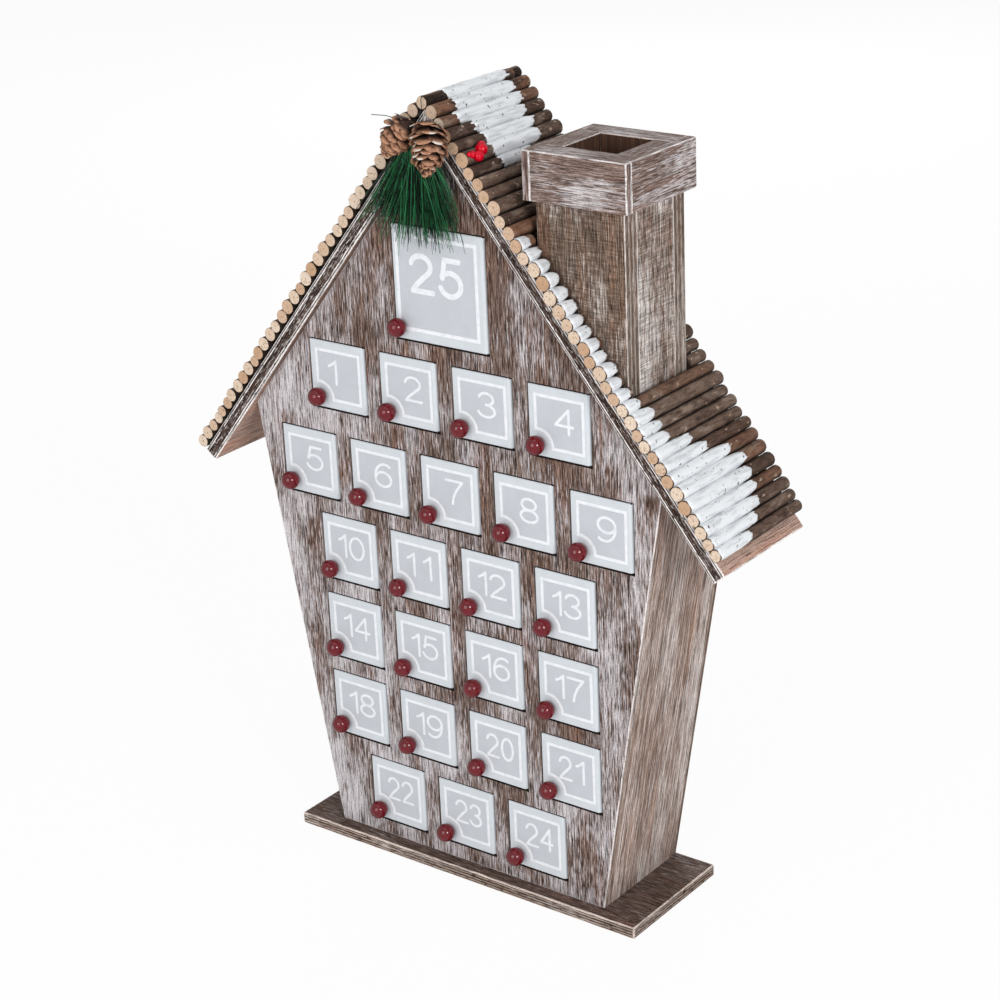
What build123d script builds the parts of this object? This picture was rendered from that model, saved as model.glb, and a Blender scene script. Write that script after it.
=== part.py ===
from build123d import *
from math import cos, radians, sin, sqrt, tan
import os

# Wooden advent calendar: a gabled house on a base plate, with twenty-five small hinged doors.
# Lengths are in millimetres and angles in degrees. X runs to the viewer's right, Y to the back, Z up.
# The origin is the middle of the base plate's underside.

# Base plate
base_length = 240.0
base_depth = 82.0
base_t = 7.0

# House body: a front and a back panel over the edges of two leaning side panels
panel_set_back = 8.5
body_depth = 72.5
foot_width = 189.2
side_lean = 9.6
front_t = 6.0
back_t = 3.0
side_t = 6.0

# Roof boards: the peak is the underside of the ridge above the base plate
roof_pitch = 51.0
roof_peak = 427.5
roof_length = 272.0
roof_t = 8.5
roof_front_overhang = 4.5
roof_back_overhang = 1.0

# Door openings: six rows from the bottom up, then the large one in the gable
row_counts = (3, 4, 4, 4, 5, 4)
opening_width = 41.0
opening_height = 41.0
bar_width = 9.0
bar_height = 8.5
lowest_sill = 9.0
upper_bar_height = 13.8
gable_bar_height = 9.0
gable_opening_width = 63.5
gable_opening_height = 65.2

# Door leaves, flush with the panel and rounded over at the hinge edge
leaf_t = 5.6
leaf_gap = 0.9
leaf_edge_r = 0.5

# Hinge pins: pressed into the panel above and below each leaf, running in the leaf's bores
pin_d = 1.6
pin_seat = 3.4
pin_reach = 4.0
pin_seat_clearance = 0.02
pin_run_clearance = 0.06
pin_end_play = 0.2

# Knobs: a bead on the leaf's face with a peg glued into the leaf
knob_d = 10.5
knob_lift = 4.7
knob_side_inset = 6.9
knob_sill_inset = 7.3
gable_knob_side_inset = 3.9
peg_d = 2.6
peg_length = 4.0
peg_clearance = 0.02
peg_end_clearance = 0.2

# Compartments: a shelf under each row stops the doors, dividers stand between the doors
grid_t = 3.0
shelf_stop = 2.0
grid_end_clearance = 0.2

# Twigs: glued side by side across the slopes, the thicker ones higher up, a ridge twig along the top
upper_twig_d = 7.65
lower_twig_d = 7.2
upper_twig_reach = 170.0
ridge_twig_d = 6.8
twig_spread_share = 0.1
twig_turns = {"radius": 2.4, "front": 1.7, "back": 2.9}
twig_glue = 0.1
twig_front_reach = 2.1
twig_back_reach = 1.5
twig_end_offset = 0.8
right_eave_bare = 4.5
left_eave_bare = 0.5
twig_chimney_gap = 0.4

# Chimney: four boards standing on the right slope, trim boards round the top
chimney_x = 87.7
chimney_y = 0.5
chimney_width = 54.0
chimney_wall = 10.5
chimney_top = 425.0
trim_t = 4.7
trim_height = 26.0

# Pine trim at the gable's peak: cones, needles on a stub, berries
cone_lengths = (27.0, 33.0)
cone_widths = (19.0, 23.0)
cone_tiers = 6
cone_tip_share = 0.12
cone_shoulder_share = 0.5
scale_lip_share = 0.7
scale_root_share = 0.8
cone_tilts = (-12.0, 16.0)
cone_sides = (-14.0, 12.0)
cone_drops = (-2.0, 4.0)
cone_gap = 0.3
stub_d = 11.0
stub_length = 11.0
stub_drop = 13.5
stub_gap = 0.2
needle_count = 11
needle_layers = 3
needle_d = 0.8
needle_tip_share = 0.4
needle_length = 25.0
needle_fan = 100.0
needle_gap = 0.1
berry_d = 4.4
berry_span = (13.0, 27.0)
berry_back = 9.0
berry_gap = 0.2

# One overrun for every cut
overrun = 1.0

# Places that follow from the sizes above
front_y = -base_depth / 2 + panel_set_back
panel_back_y = front_y + front_t
body_back_y = front_y + body_depth
back_panel_y = body_back_y - back_t
roof_front_y = front_y - roof_front_overhang
roof_back_y = body_back_y + roof_back_overhang
ridge_z = base_t + roof_peak
lean = tan(radians(side_lean))
side_width = side_t / cos(radians(side_lean))
pitch_sin = sin(radians(roof_pitch))
pitch_cos = cos(radians(roof_pitch))
pitch_tan = tan(radians(roof_pitch))


def block(low, high):
    """A box between two opposite corners."""
    size = [b - a for a, b in zip(low, high)]
    middle = [(a + b) / 2 for a, b in zip(low, high)]
    return Pos(*middle) * Box(*size)


def plate(outline, y_low, y_high):
    """An outline of X and Z places, made thick along Y."""
    wire = Polyline(*[(x, y_low, z) for x, z in outline], close=True)
    return extrude(make_face(wire.edges()), amount=y_high - y_low, dir=(0, 1, 0))


def rod(x, z, radius, y_low, y_high):
    """A round bar along Y."""
    return Pos(x, (y_low + y_high) / 2, z) * Rot(X=90) * Cylinder(radius, y_high - y_low)


def post(x, y, radius, z_low, z_high):
    """A round bar along Z."""
    return Pos(x, y, (z_low + z_high) / 2) * Cylinder(radius, z_high - z_low)


def under_roof(half_foot):
    """Where a leaning line that starts half_foot from the middle of the base meets the roof."""
    rise = (roof_peak - pitch_tan * half_foot) / (1 + pitch_tan * lean)
    return half_foot + lean * rise, base_t + rise


def on_roof(along, above, side):
    """X and Z of a place along a slope from the ridge, above the roof board's underside."""
    x = along * pitch_cos + above * pitch_sin
    return side * x, ridge_z - along * pitch_sin + above * pitch_cos


def roof_top_z(x):
    """Height of the right-hand roof board's upper face."""
    return ridge_z + roof_t / pitch_cos - pitch_tan * x


def body_outline():
    """The house's gabled outline, from the base plate to the roof boards."""
    half_foot = foot_width / 2
    eave_x, eave_z = under_roof(half_foot)
    right = [(half_foot, base_t), (eave_x, eave_z)]
    left = [(-x, z) for x, z in reversed(right)]
    return right + [(0, ridge_z)] + left


def row_sills():
    """Sill height of each row of openings, from the bottom up."""
    sills = [base_t + lowest_sill]
    for row in range(1, len(row_counts)):
        bar = upper_bar_height if row == len(row_counts) - 1 else bar_height
        sills.append(sills[-1] + opening_height + bar)
    return sills


def gable_sill():
    """Sill height of the large opening in the gable."""
    return row_sills()[-1] + opening_height + gable_bar_height


def row_places(count):
    """X of the middle of each opening in a row."""
    pitch = opening_width + bar_width
    return [(i - (count - 1) / 2) * pitch for i in range(count)]


def openings():
    """Each door's number with the low and high corners of its opening in X and Z."""
    places = {}
    number = sum(row_counts)
    for count, sill in zip(row_counts, row_sills()):
        number -= count
        for i, x in enumerate(row_places(count)):
            low = (x - opening_width / 2, sill)
            high = (x + opening_width / 2, sill + opening_height)
            places[number + i + 1] = (low, high)
    low = (-gable_opening_width / 2, gable_sill())
    high = (gable_opening_width / 2, gable_sill() + gable_opening_height)
    places[sum(row_counts) + 1] = (low, high)
    return places


def hinge_axis(low, high):
    """X and Y of a leaf's vertical hinge axis, in the middle of its rounded edge."""
    return high[0] - leaf_gap - leaf_t / 2, front_y + leaf_t / 2


def pin_spans(low, high):
    """Z spans of an opening's lower and upper pins."""
    lower = (low[1] - pin_seat, low[1] + leaf_gap + pin_reach)
    upper = (high[1] - leaf_gap - pin_reach, high[1] + pin_seat)
    return lower, upper


def knob_place(number, low):
    """X and Z of a knob's middle on its leaf."""
    is_gable = number == sum(row_counts) + 1
    inset = gable_knob_side_inset if is_gable else knob_side_inset
    return low[0] + leaf_gap + inset, low[1] + leaf_gap + knob_sill_inset


def base_plate():
    half = (base_length / 2, base_depth / 2)
    return block((-half[0], -half[1], 0), (half[0], half[1], base_t))


def front_panel():
    """The gabled panel with its openings and the bores that the hinge pins are pressed into."""
    panel = plate(body_outline(), front_y, panel_back_y)
    cuts = []
    for low, high in openings().values():
        cuts.append(block((low[0], front_y - overrun, low[1]), (high[0], panel_back_y + overrun, high[1])))
        x, y = hinge_axis(low, high)
        bore = pin_d / 2 + pin_seat_clearance
        cuts.append(post(x, y, bore, low[1] - pin_seat, low[1] + overrun))
        cuts.append(post(x, y, bore, high[1] - overrun, high[1] + pin_seat))
    return panel - cuts


def back_panel():
    return plate(body_outline(), back_panel_y, body_back_y)


def side_panels():
    """Two leaning boards between the front and back panels, bevelled under the roof."""
    half_foot = foot_width / 2
    inner_foot = half_foot - side_width
    right = [(inner_foot, base_t), (half_foot, base_t), under_roof(half_foot), under_roof(inner_foot)]
    left = [(-x, z) for x, z in right]
    return [plate(outline, panel_back_y, back_panel_y) for outline in (right, left)]


def inner_half(z):
    """Half the house's inner width at a height."""
    wall = foot_width / 2 - side_width + lean * (z - base_t)
    roof = (ridge_z - z) / pitch_tan
    return min(wall, roof) - grid_end_clearance


def shelf(top):
    low = top - grid_t
    bottom_half = inner_half(low)
    top_half = inner_half(top)
    outline = [(-bottom_half, low), (bottom_half, low), (top_half, top), (-top_half, top)]
    return plate(outline, panel_back_y, back_panel_y)


def compartment_grid():
    """Shelves from wall to wall, and dividers that stand between one shelf and the next."""
    tops = [sill + shelf_stop for sill in row_sills() + [gable_sill()]]
    pieces = [shelf(top) for top in tops]
    for count, floor, roof in zip(row_counts, tops, tops[1:]):
        places = row_places(count)
        for x in [(a + b) / 2 for a, b in zip(places, places[1:])]:
            low = (x - grid_t / 2, panel_back_y, floor)
            pieces.append(block(low, (x + grid_t / 2, back_panel_y, roof - grid_t)))
    return pieces


def roof_boards():
    """Two boards, mitred at the ridge and cut square at the eaves."""
    boards = []
    for side in (1, -1):
        top = (0, ridge_z + roof_t / pitch_cos)
        outline = [(0, ridge_z), on_roof(roof_length, 0, side), on_roof(roof_length, roof_t, side), top]
        boards.append(plate(outline, roof_front_y, roof_back_y))
    return boards


def uneven(index, turn):
    """A fixed, uneven order of values between -1 and 1."""
    return sin(twig_turns[turn] * index ** 2 + index)


def twig_radius(index, along):
    """Twigs differ a little in thickness, and more between the upper and the lower part of a slope."""
    diameter = upper_twig_d if along < upper_twig_reach else lower_twig_d
    return diameter / 2 * (1 + twig_spread_share * uneven(index, "radius"))


def twig_ends(index):
    """Y of a twig's front and back ends, which are cut unevenly."""
    front = roof_front_y - twig_front_reach + twig_end_offset * uneven(index, "front")
    back = roof_back_y + twig_back_reach + twig_end_offset * uneven(index, "back")
    return front, back


def twig_rods(index, x, z, radius):
    """One twig, in two lengths where the chimney stands in its way."""
    front, back = twig_ends(index)
    half = chimney_width / 2
    if abs(x - chimney_x) > half + radius + twig_chimney_gap:
        return [rod(x, z, radius, front, back)]
    stop = chimney_y - half - twig_chimney_gap
    start = chimney_y + half + twig_chimney_gap
    return [rod(x, z, radius, front, stop), rod(x, z, radius, start, back)]


def twig_places():
    """Index, X, Z and radius of each twig: the ridge twig, then down the right and left slopes."""
    ridge_r = ridge_twig_d / 2
    rise = roof_t / pitch_cos + twig_glue + ridge_r
    places = [(0, 0, ridge_z + rise, ridge_r)]
    for side, eave_bare in ((1, right_eave_bare), (-1, left_eave_bare)):
        along, above, radius = -rise * pitch_sin, rise * pitch_cos, ridge_r
        while along + radius + lower_twig_d < roof_length - eave_bare:
            index = len(places)
            new_radius = twig_radius(index, along)
            new_above = roof_t + twig_glue + new_radius
            reach = radius + new_radius + twig_glue
            along += sqrt(reach ** 2 - (new_above - above) ** 2)
            above, radius = new_above, new_radius
            places.append((index, *on_roof(along, above, side), radius))
    return places


def roof_twigs():
    """Twigs laid from the ridge twig down each slope, each against the one above it."""
    return [piece for place in twig_places() for piece in twig_rods(*place)]


def chimney():
    """A square shaft that stands on the right slope, with trim boards lapped round its top."""
    half = chimney_width / 2
    inner = half - chimney_wall
    top = base_t + chimney_top
    spans = [(-half, half, -half, -inner), (-half, half, inner, half)]
    spans += [(-half, -inner, -inner, inner), (inner, half, -inner, inner)]
    pieces = []
    for x_low, x_high, y_low, y_high in spans:
        left, right = chimney_x + x_low, chimney_x + x_high
        outline = [(left, roof_top_z(left)), (right, roof_top_z(right)), (right, top), (left, top)]
        pieces.append(plate(outline, chimney_y + y_low, chimney_y + y_high))
    board = block((-half, -half - trim_t, top - trim_height), (half + trim_t, -half, top))
    pieces += [Pos(chimney_x, chimney_y, 0) * Rot(Z=turn) * board for turn in (0, 90, 180, 270)]
    return pieces


def door_leaf(number, low, high):
    """A flush leaf whose hinge edge is rounded about the pins."""
    x, y = hinge_axis(low, high)
    radius = leaf_t / 2
    left = low[0] + leaf_gap
    floor, top = low[1] + leaf_gap, high[1] - leaf_gap
    slab = block((left, front_y, floor), (x, front_y + leaf_t, top)) + post(x, y, radius, floor, top)
    face_edges = slab.edges().filter_by(lambda e: abs(e.center().Y - front_y) < leaf_edge_r)
    slab = fillet(face_edges.filter_by(Axis.Z).sort_by(Axis.X)[:1], leaf_edge_r)
    bore = pin_d / 2 + pin_run_clearance
    depth = pin_reach + pin_end_play
    peg_x, peg_z = knob_place(number, low)
    peg_back = front_y + peg_length + peg_end_clearance
    cuts = [
        post(x, y, bore, floor - overrun, floor + depth),
        post(x, y, bore, top - depth, top + overrun),
        rod(peg_x, peg_z, peg_d / 2 + peg_clearance, front_y - overrun, peg_back),
    ]
    return slab - cuts


def knob(number, low):
    """A bead with a small flat on the leaf's face and a peg into the leaf."""
    x, z = knob_place(number, low)
    bead = Pos(x, front_y - knob_lift, z) * Sphere(knob_d / 2)
    half = knob_d / 2 + overrun
    bead -= block((x - half, front_y, z - half), (x + half, front_y + knob_d, z + half))
    return bead + rod(x, z, peg_d / 2, front_y, front_y + peg_length)


def hinge_pins():
    pieces = []
    for low, high in openings().values():
        for span in pin_spans(low, high):
            pieces.append(post(*hinge_axis(low, high), pin_d / 2, *span))
    return pieces


def pine_cone(length, width):
    """A cone of scale tiers on a standing axis, its blunt end up."""
    points = [(0, 0)]
    step = length / cone_tiers
    for tier in range(cone_tiers):
        swell_share = cone_tip_share + cone_shoulder_share * (tier + 1) / cone_tiers
        reach = width / 2 * sin(radians(180 * swell_share))
        points.append((reach, step * (tier + scale_lip_share)))
        points.append((reach * scale_root_share, step * (tier + 1)))
    points.append((0, length))
    wire = Polyline(*[(x, 0, z) for x, z in points], close=True)
    return revolve(make_face(wire.edges()), Axis.Z, 360)


def pine_trim():
    """Two cones before the peak, needles fanned from a stub on the gable, and berries on the slope."""
    pieces = []
    twig_tips_y = roof_front_y - twig_front_reach - twig_end_offset
    for length, width, tilt, x, drop in zip(cone_lengths, cone_widths, cone_tilts, cone_sides, cone_drops):
        cone = Pos(0, 0, -length / 2) * pine_cone(length, width)
        pieces.append(Pos(x, twig_tips_y - cone_gap - width / 2, ridge_z - drop) * Rot(Y=tilt) * cone)
    stub_z = ridge_z - stub_drop
    stub_front = front_y - stub_gap - stub_length
    pieces.append(rod(0, stub_z, stub_d / 2, stub_front, front_y - stub_gap))
    needle = Cone(needle_d / 2, needle_d / 2 * needle_tip_share, needle_length)
    root = stub_d / 2 + needle_gap + needle_length / 2
    for layer in range(needle_layers):
        y = stub_front + stub_length * (layer + 1 / 2) / needle_layers
        for i in range(needle_count):
            turn = 180 + needle_fan * (i / (needle_count - 1) - 1 / 2)
            pieces.append(Pos(0, y, stub_z) * Rot(Y=turn) * Pos(0, 0, root) * needle)
    for _, x, z, radius in twig_places():
        if not berry_span[0] < x < berry_span[1]:
            continue
        lift = radius + berry_gap + berry_d / 2
        berry = Pos(x + lift * pitch_sin, roof_front_y + berry_back, z + lift * pitch_cos)
        pieces.append(berry * Sphere(berry_d / 2))
    return pieces


def save(name, shape):
    """Write one named part, as a group of separate solids where it has several."""
    shape = Compound(children=shape) if isinstance(shape, list) else shape
    shape.label = name
    export_step(shape, f"parts/{name}.step")


def main():
    os.makedirs("parts", exist_ok=True)
    fixed = [base_plate, front_panel, back_panel, side_panels, compartment_grid, roof_boards, roof_twigs]
    for make in fixed + [chimney, hinge_pins, pine_trim]:
        save(make.__name__, make())
    for number, (low, high) in openings().items():
        save(f"door_{number:02d}", door_leaf(number, low, high))
        save(f"knob_{number:02d}", knob(number, low))


if __name__ == "__main__":
    main()
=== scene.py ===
import math
import random

import bmesh
import bpy
from mathutils import Matrix, Vector


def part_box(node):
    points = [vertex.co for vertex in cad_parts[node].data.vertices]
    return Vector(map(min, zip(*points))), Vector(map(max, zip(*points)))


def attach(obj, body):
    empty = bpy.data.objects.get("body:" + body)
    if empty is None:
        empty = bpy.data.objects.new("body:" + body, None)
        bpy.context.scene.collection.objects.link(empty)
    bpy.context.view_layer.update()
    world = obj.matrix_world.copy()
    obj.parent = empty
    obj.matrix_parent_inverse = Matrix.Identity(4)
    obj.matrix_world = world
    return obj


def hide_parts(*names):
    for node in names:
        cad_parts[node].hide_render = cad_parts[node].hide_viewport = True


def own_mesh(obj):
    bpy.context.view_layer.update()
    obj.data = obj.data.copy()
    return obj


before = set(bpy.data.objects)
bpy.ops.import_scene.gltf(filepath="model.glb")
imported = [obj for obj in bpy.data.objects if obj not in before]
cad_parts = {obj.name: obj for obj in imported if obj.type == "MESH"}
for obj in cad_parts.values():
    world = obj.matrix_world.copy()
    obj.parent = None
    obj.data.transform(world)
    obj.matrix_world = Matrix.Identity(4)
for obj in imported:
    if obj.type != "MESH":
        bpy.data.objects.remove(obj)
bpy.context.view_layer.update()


# Base plate: one plywood board that the house stands on, stained brown and rubbed with white paint.
# Its corners are worn round, and its cut edges show the plies as pale lines.
MM = 0.001
FACE, EDGE, WORN = 0, 1, 2
NEAR = 0.1 * MM
BUMP_STRENGTH = 0.6


def seen(red, green, blue):
    """A colour written as it is seen, from 0 to 255, made linear."""
    shares = [value / 255 for value in (red, green, blue)]
    return (*[s / 12.92 if s <= 0.04045 else ((s + 0.055) / 1.055) ** 2.4 for s in shares], 1.0)


def add(tree, kind, inputs=(), **settings):
    """A new node with its settings, and its inputs given as values or as sockets to link from."""
    made = tree.nodes.new(kind)
    for name, value in settings.items():
        setattr(made, name, value)
    for key, value in dict(inputs).items():
        if isinstance(value, bpy.types.NodeSocket):
            tree.links.new(value, made.inputs[key])
        else:
            made.inputs[key].default_value = value
    return made


def tree_of(*values):
    """The node tree of the sockets among values."""
    return next(value.id_data for value in values if isinstance(value, bpy.types.NodeSocket))


def maths(operation, *values):
    """The result of a sum on numbers and sockets."""
    return add(tree_of(*values), "ShaderNodeMath", enumerate(values), operation=operation).outputs[0]


def vector_maths(operation, *places):
    """The result of a sum on two places: a number for a distance or a dot product, and otherwise a place."""
    result = "Value" if operation in ("DISTANCE", "DOT_PRODUCT") else "Vector"
    made = add(tree_of(*places), "ShaderNodeVectorMath", enumerate(places), operation=operation)
    return made.outputs[result]


def ramp(value, low, high, to_low=0.0, to_high=1.0):
    """A smooth step from to_low to to_high as value goes from low to high."""
    ends = {"Value": value, "From Min": low, "From Max": high, "To Min": to_low, "To Max": to_high}
    return add(tree_of(value), "ShaderNodeMapRange", ends, interpolation_type="SMOOTHSTEP").outputs[0]


def mix(factor, first, second, blend="MIX"):
    """Two colours mixed."""
    ends = {0: factor, 6: first, 7: second}
    tree = tree_of(factor, first, second)
    return add(tree, "ShaderNodeMix", ends, data_type="RGBA", blend_type=blend).outputs[2]


def noise(place, stretch, detail=2.0, roughness=0.55):
    """Noise at a place, with so many features to the metre along each axis."""
    scaled = vector_maths("MULTIPLY", place, stretch)
    values = {"Vector": scaled, "Scale": 1.0, "Detail": detail, "Roughness": roughness}
    return add(tree_of(place), "ShaderNodeTexNoise", values).outputs[0]


def split(place):
    """The X, Y and Z of a place."""
    return add(tree_of(place), "ShaderNodeSeparateXYZ", {0: place}).outputs


def object_place(tree):
    """A place in the object's own coordinates."""
    return add(tree, "ShaderNodeTexCoord").outputs["Object"]


def attribute(tree, name, kind="Fac"):
    """A mesh attribute, as a number or as the named kind of output."""
    return add(tree, "ShaderNodeAttribute", attribute_name=name).outputs[kind]


def new_group(name, inputs, outputs, kind="ShaderNodeTree"):
    """An empty node group, with the sockets of its inputs and the node of its outputs."""
    tree = bpy.data.node_groups.new(name, kind)
    for direction, kinds in (("INPUT", inputs), ("OUTPUT", outputs)):
        for socket, value_kind in kinds.items():
            tree.interface.new_socket(socket, in_out=direction, socket_type="NodeSocket" + value_kind)
    return tree, tree.nodes.new("NodeGroupInput").outputs, tree.nodes.new("NodeGroupOutput")


def new_material(name, **constants):
    """A material of one principled shader with these constants on its sockets."""
    material = bpy.data.materials.new(name)
    material.use_nodes = True
    shader = material.node_tree.nodes["Principled BSDF"]
    for key, value in constants.items():
        shader.inputs[key.replace("_", " ")].default_value = value
    return material, material.node_tree, shader


def feed(node, **sockets):
    """Link sockets to a node's inputs, by the inputs' names."""
    for key, socket in sockets.items():
        tree_of(socket).links.new(socket, node.inputs[key.replace("_", " ")])


def rough_up(shader, height, depth):
    """Feed a height to a shader's normal, so that it stands depth metres proud."""
    bump = {"Strength": BUMP_STRENGTH, "Distance": depth, "Height": height}
    feed(shader, Normal=add(tree_of(height), "ShaderNodeBump", bump).outputs["Normal"])


WARM_TINT = (1.14, 0.96, 0.86, 1.0)


def weathered_wood_group():
    """Stained wood brushed along its grain: fine fibres, dark pores, and white paint left in patches."""
    inputs = {"Grain": "Vector", "Amount": "Float", "Patchy": "Float"}
    inputs.update({colour: "Color" for colour in ("Dark", "Stain", "Wash")})
    outputs = {"Color": "Color", "Roughness": "Float", "Height": "Float"}
    tree, given, result = new_group("weathered_wood", inputs, outputs)
    grain = given["Grain"]
    fibre = noise(grain, (40.0, 1050.0, 1.0), 3.0)
    fleck = noise(grain, (150.0, 1500.0, 3.0), 2.0)
    streak = noise(grain, (26.0, 900.0, 5.0), 4.0, 0.65)
    patch = noise(grain, (20.0, 45.0, 7.0), 3.0, 0.6)
    speck = noise(grain, (800.0, 1400.0, 17.0), 2.0)
    warmth = ramp(noise(grain, (9.0, 70.0, 11.0), 2.0), 0.48, 0.68)
    pore = ramp(noise(grain, (55.0, 1500.0, 13.0), 2.0), 0.54, 0.64)
    tone = maths("MULTIPLY_ADD", fibre, 0.5, maths("MULTIPLY", fleck, 0.5))
    stained = mix(ramp(tone, 0.41, 0.59), given["Dark"], given["Stain"])
    stained = mix(warmth, stained, mix(1.0, stained, WARM_TINT, "MULTIPLY"))
    cover = maths("MULTIPLY_ADD", streak, 0.45, maths("MULTIPLY", fleck, 0.45))
    cover = maths("MULTIPLY_ADD", maths("SUBTRACT", patch, 0.5), given["Patchy"], cover)
    cover = maths("MULTIPLY_ADD", maths("SUBTRACT", given["Amount"], 0.5), 0.5, cover)
    wash = ramp(cover, 0.39, 0.59)
    painted = mix(wash, stained, given["Wash"])
    pitted = maths("MULTIPLY_ADD", pore, -0.6, 1.0)
    pitted = maths("MULTIPLY", pitted, ramp(speck, 0.36, 0.64, 0.82, 1.16))
    feed(result, Color=mix(1.0, painted, pitted, "MULTIPLY"))
    feed(result, Roughness=maths("MULTIPLY_ADD", wash, -0.12, 0.78))
    feed(result, Height=maths("MULTIPLY_ADD", pore, -0.8, fibre))
    return tree


PLY_WANDER = 0.6 * MM


def ply_lines_group():
    """Pale lines and dark grooves between plies, for a cut edge. Grain runs along and through the board, and
    no line lies within Core of the Middle."""
    inputs = {"Grain": "Vector", "Ply": "Float", "Middle": "Float", "Core": "Float"}
    tree, given, result = new_group("ply_lines", inputs, {"Line": "Float", "Groove": "Float"})
    grain = given["Grain"]
    wander = maths("SUBTRACT", noise(grain, (60.0, 200.0, 1.0), 2.0), 0.5)
    through = maths("MULTIPLY_ADD", wander, PLY_WANDER, split(grain)[1])
    off_line = maths("PINGPONG", through, maths("MULTIPLY", given["Ply"], 0.5))
    share = maths("DIVIDE", off_line, given["Ply"])
    chip = ramp(noise(grain, (260.0, 700.0, 2.0), 2.0), 0.34, 0.46)
    broken = ramp(noise(grain, (120.0, 500.0, 4.0), 2.0), 0.36, 0.52)
    kept = ramp(noise(grain, (38.0, 420.0, 6.0), 2.0), 0.34, 0.52, 0.4, 1.0)
    off_middle = maths("ABSOLUTE", maths("SUBTRACT", through, given["Middle"]))
    past_core = maths("GREATER_THAN", off_middle, given["Core"])
    chip = maths("MULTIPLY", maths("MULTIPLY", chip, kept), past_core)
    feed(result, Line=maths("MULTIPLY", ramp(share, 0.29, 0.10), chip))
    feed(result, Groove=maths("MULTIPLY", ramp(share, 0.30, 0.46), broken))
    return tree


weathered_wood = weathered_wood_group()
ply_lines = ply_lines_group()


def grain_place(tree):
    """A board's own UV map, moved aside by its seed."""
    uv = add(tree, "ShaderNodeUVMap", uv_map="grain").outputs[0]
    aside = add(tree, "ShaderNodeCombineXYZ", {2: attribute(tree, "seed")}).outputs[0]
    return vector_maths("ADD", uv, aside)


# The white paint on worn corners: how much is left, and how unevenly
RUBBED, RUBBED_PATCHY = 0.80, 0.70
# Depth of the grain's bumps, and how dark the painted shade high up on a face gets
GRAIN_DEPTH, DARKEST_PAINTED_SHADE = 0.5 * MM, 0.38


def board_materials(
    name, stains, wash, amount, patchy, rub, plies=None, saw=0.0, fade=None, painted_shade=None, stretch=1.0
):
    """Materials of a kind of board, from its darkest and lightest stain: faces, cut edges and worn corners.

    Wash is the white paint, amount how much of it is left, patchy how unevenly, and rub the corners' paint.
    Plies give the edges the pitch, middle and core of their lines, their colours, strength and white scuffs.
    Saw is the strength of saw marks. Fade changes the amount for each metre along and across a face and away
    from its middle. Painted shade, if given, holds the two heights between which a face darkens, standing for
    the shadow under an overhang, and stretch draws out its grain.
    """
    materials = []
    edge = {"stains": stains, "wash": wash, "amount": amount, **(plies or {})}
    looks = (
        ("face", stains, wash, amount, patchy),
        ("edge", edge["stains"], edge["wash"], edge["amount"], patchy),
        ("worn", stains, rub, RUBBED, RUBBED_PATCHY),
    )
    for part, (dark, stain), paint, cover, patches in looks:
        material, tree, shader = new_material(f"{name}_{part}", Specular_IOR_Level=0.15)
        place = grain_place(tree)
        if part == "face" and fade:
            along, across, _ = split(place)
            for way, change in zip((along, across, maths("ABSOLUTE", across)), fade):
                cover = maths("MULTIPLY_ADD", way, change, cover)
        if part == "face" and stretch != 1.0:
            place = vector_maths("MULTIPLY", place, (1.0 / stretch, 1.0, 1.0))
        values = {"Grain": place, "Dark": dark, "Stain": stain}
        values.update({"Wash": paint, "Amount": cover, "Patchy": patches})
        wood = add(tree, "ShaderNodeGroup", values, node_tree=weathered_wood).outputs
        colour = wood["Color"]
        if part == "edge" and plies:
            build = {"Grain": place, "Ply": plies["pitch"], "Middle": plies["middle"], "Core": plies["core"]}
            ply = add(tree, "ShaderNodeGroup", build, node_tree=ply_lines).outputs
            groove = maths("MULTIPLY", ply["Groove"], plies["strength"])
            line = maths("MULTIPLY", ply["Line"], plies["strength"])
            colour = mix(line, mix(groove, colour, plies["groove"]), plies["line"])
            nick = noise(place, (260.0, 1900.0, 19.0), 3.0, 0.65)
            scuff = ramp(nick, 0.57, 0.66, 0.0, plies.get("scuff", 0.0))
            colour = mix(scuff, colour, plies["line"])
        if part == "face" and saw:
            mark = noise(place, (1300.0, 90.0, 1.0), 3.0)
            colour = mix(1.0, colour, ramp(mark, 0.38, 0.62, 1.0 - saw, 1.0 + saw), "MULTIPLY")
        # Painted shade: the face darkens between two heights, standing for the shadow under an overhang
        if part == "face" and painted_shade:
            height = split(object_place(tree))[2]
            colour = mix(1.0, colour, ramp(height, *painted_shade, 1.0, DARKEST_PAINTED_SHADE), "MULTIPLY")
        feed(shader, Base_Color=colour, Roughness=wood["Roughness"])
        rough_up(shader, wood["Height"], GRAIN_DEPTH)
        materials.append(material)
    return materials


def close_rings(bm, rings, ends=True):
    """Faces round a row of rings of corners, and over both of its ends."""
    if ends:
        bm.faces.new(rings[0])
        bm.faces.new(rings[-1][::-1])
    for first, second in zip(rings, rings[1:]):
        for j in range(len(first)):
            bm.faces.new((first[j - 1], second[j - 1], second[j], first[j]))


def prism(bm, outline, y_low, y_high):
    """A board of an outline in X and Z, between two Y places, in millimetres. Returns its corners."""
    rings = [[bm.verts.new((x * MM, y * MM, z * MM)) for x, z in outline] for y in (y_low, y_high)]
    close_rings(bm, rings)
    return rings[0] + rings[1]


WELD, FLAT = 0.001 * MM, math.radians(1)


def cad_copy(node):
    """A welded copy of a CAD node's mesh, with its flat faces made whole."""
    bm = bmesh.new()
    bm.from_mesh(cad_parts[node].data)
    bmesh.ops.remove_doubles(bm, verts=bm.verts, dist=WELD)
    bmesh.ops.dissolve_limit(bm, angle_limit=FLAT, verts=bm.verts, edges=bm.edges)
    return bm


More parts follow.
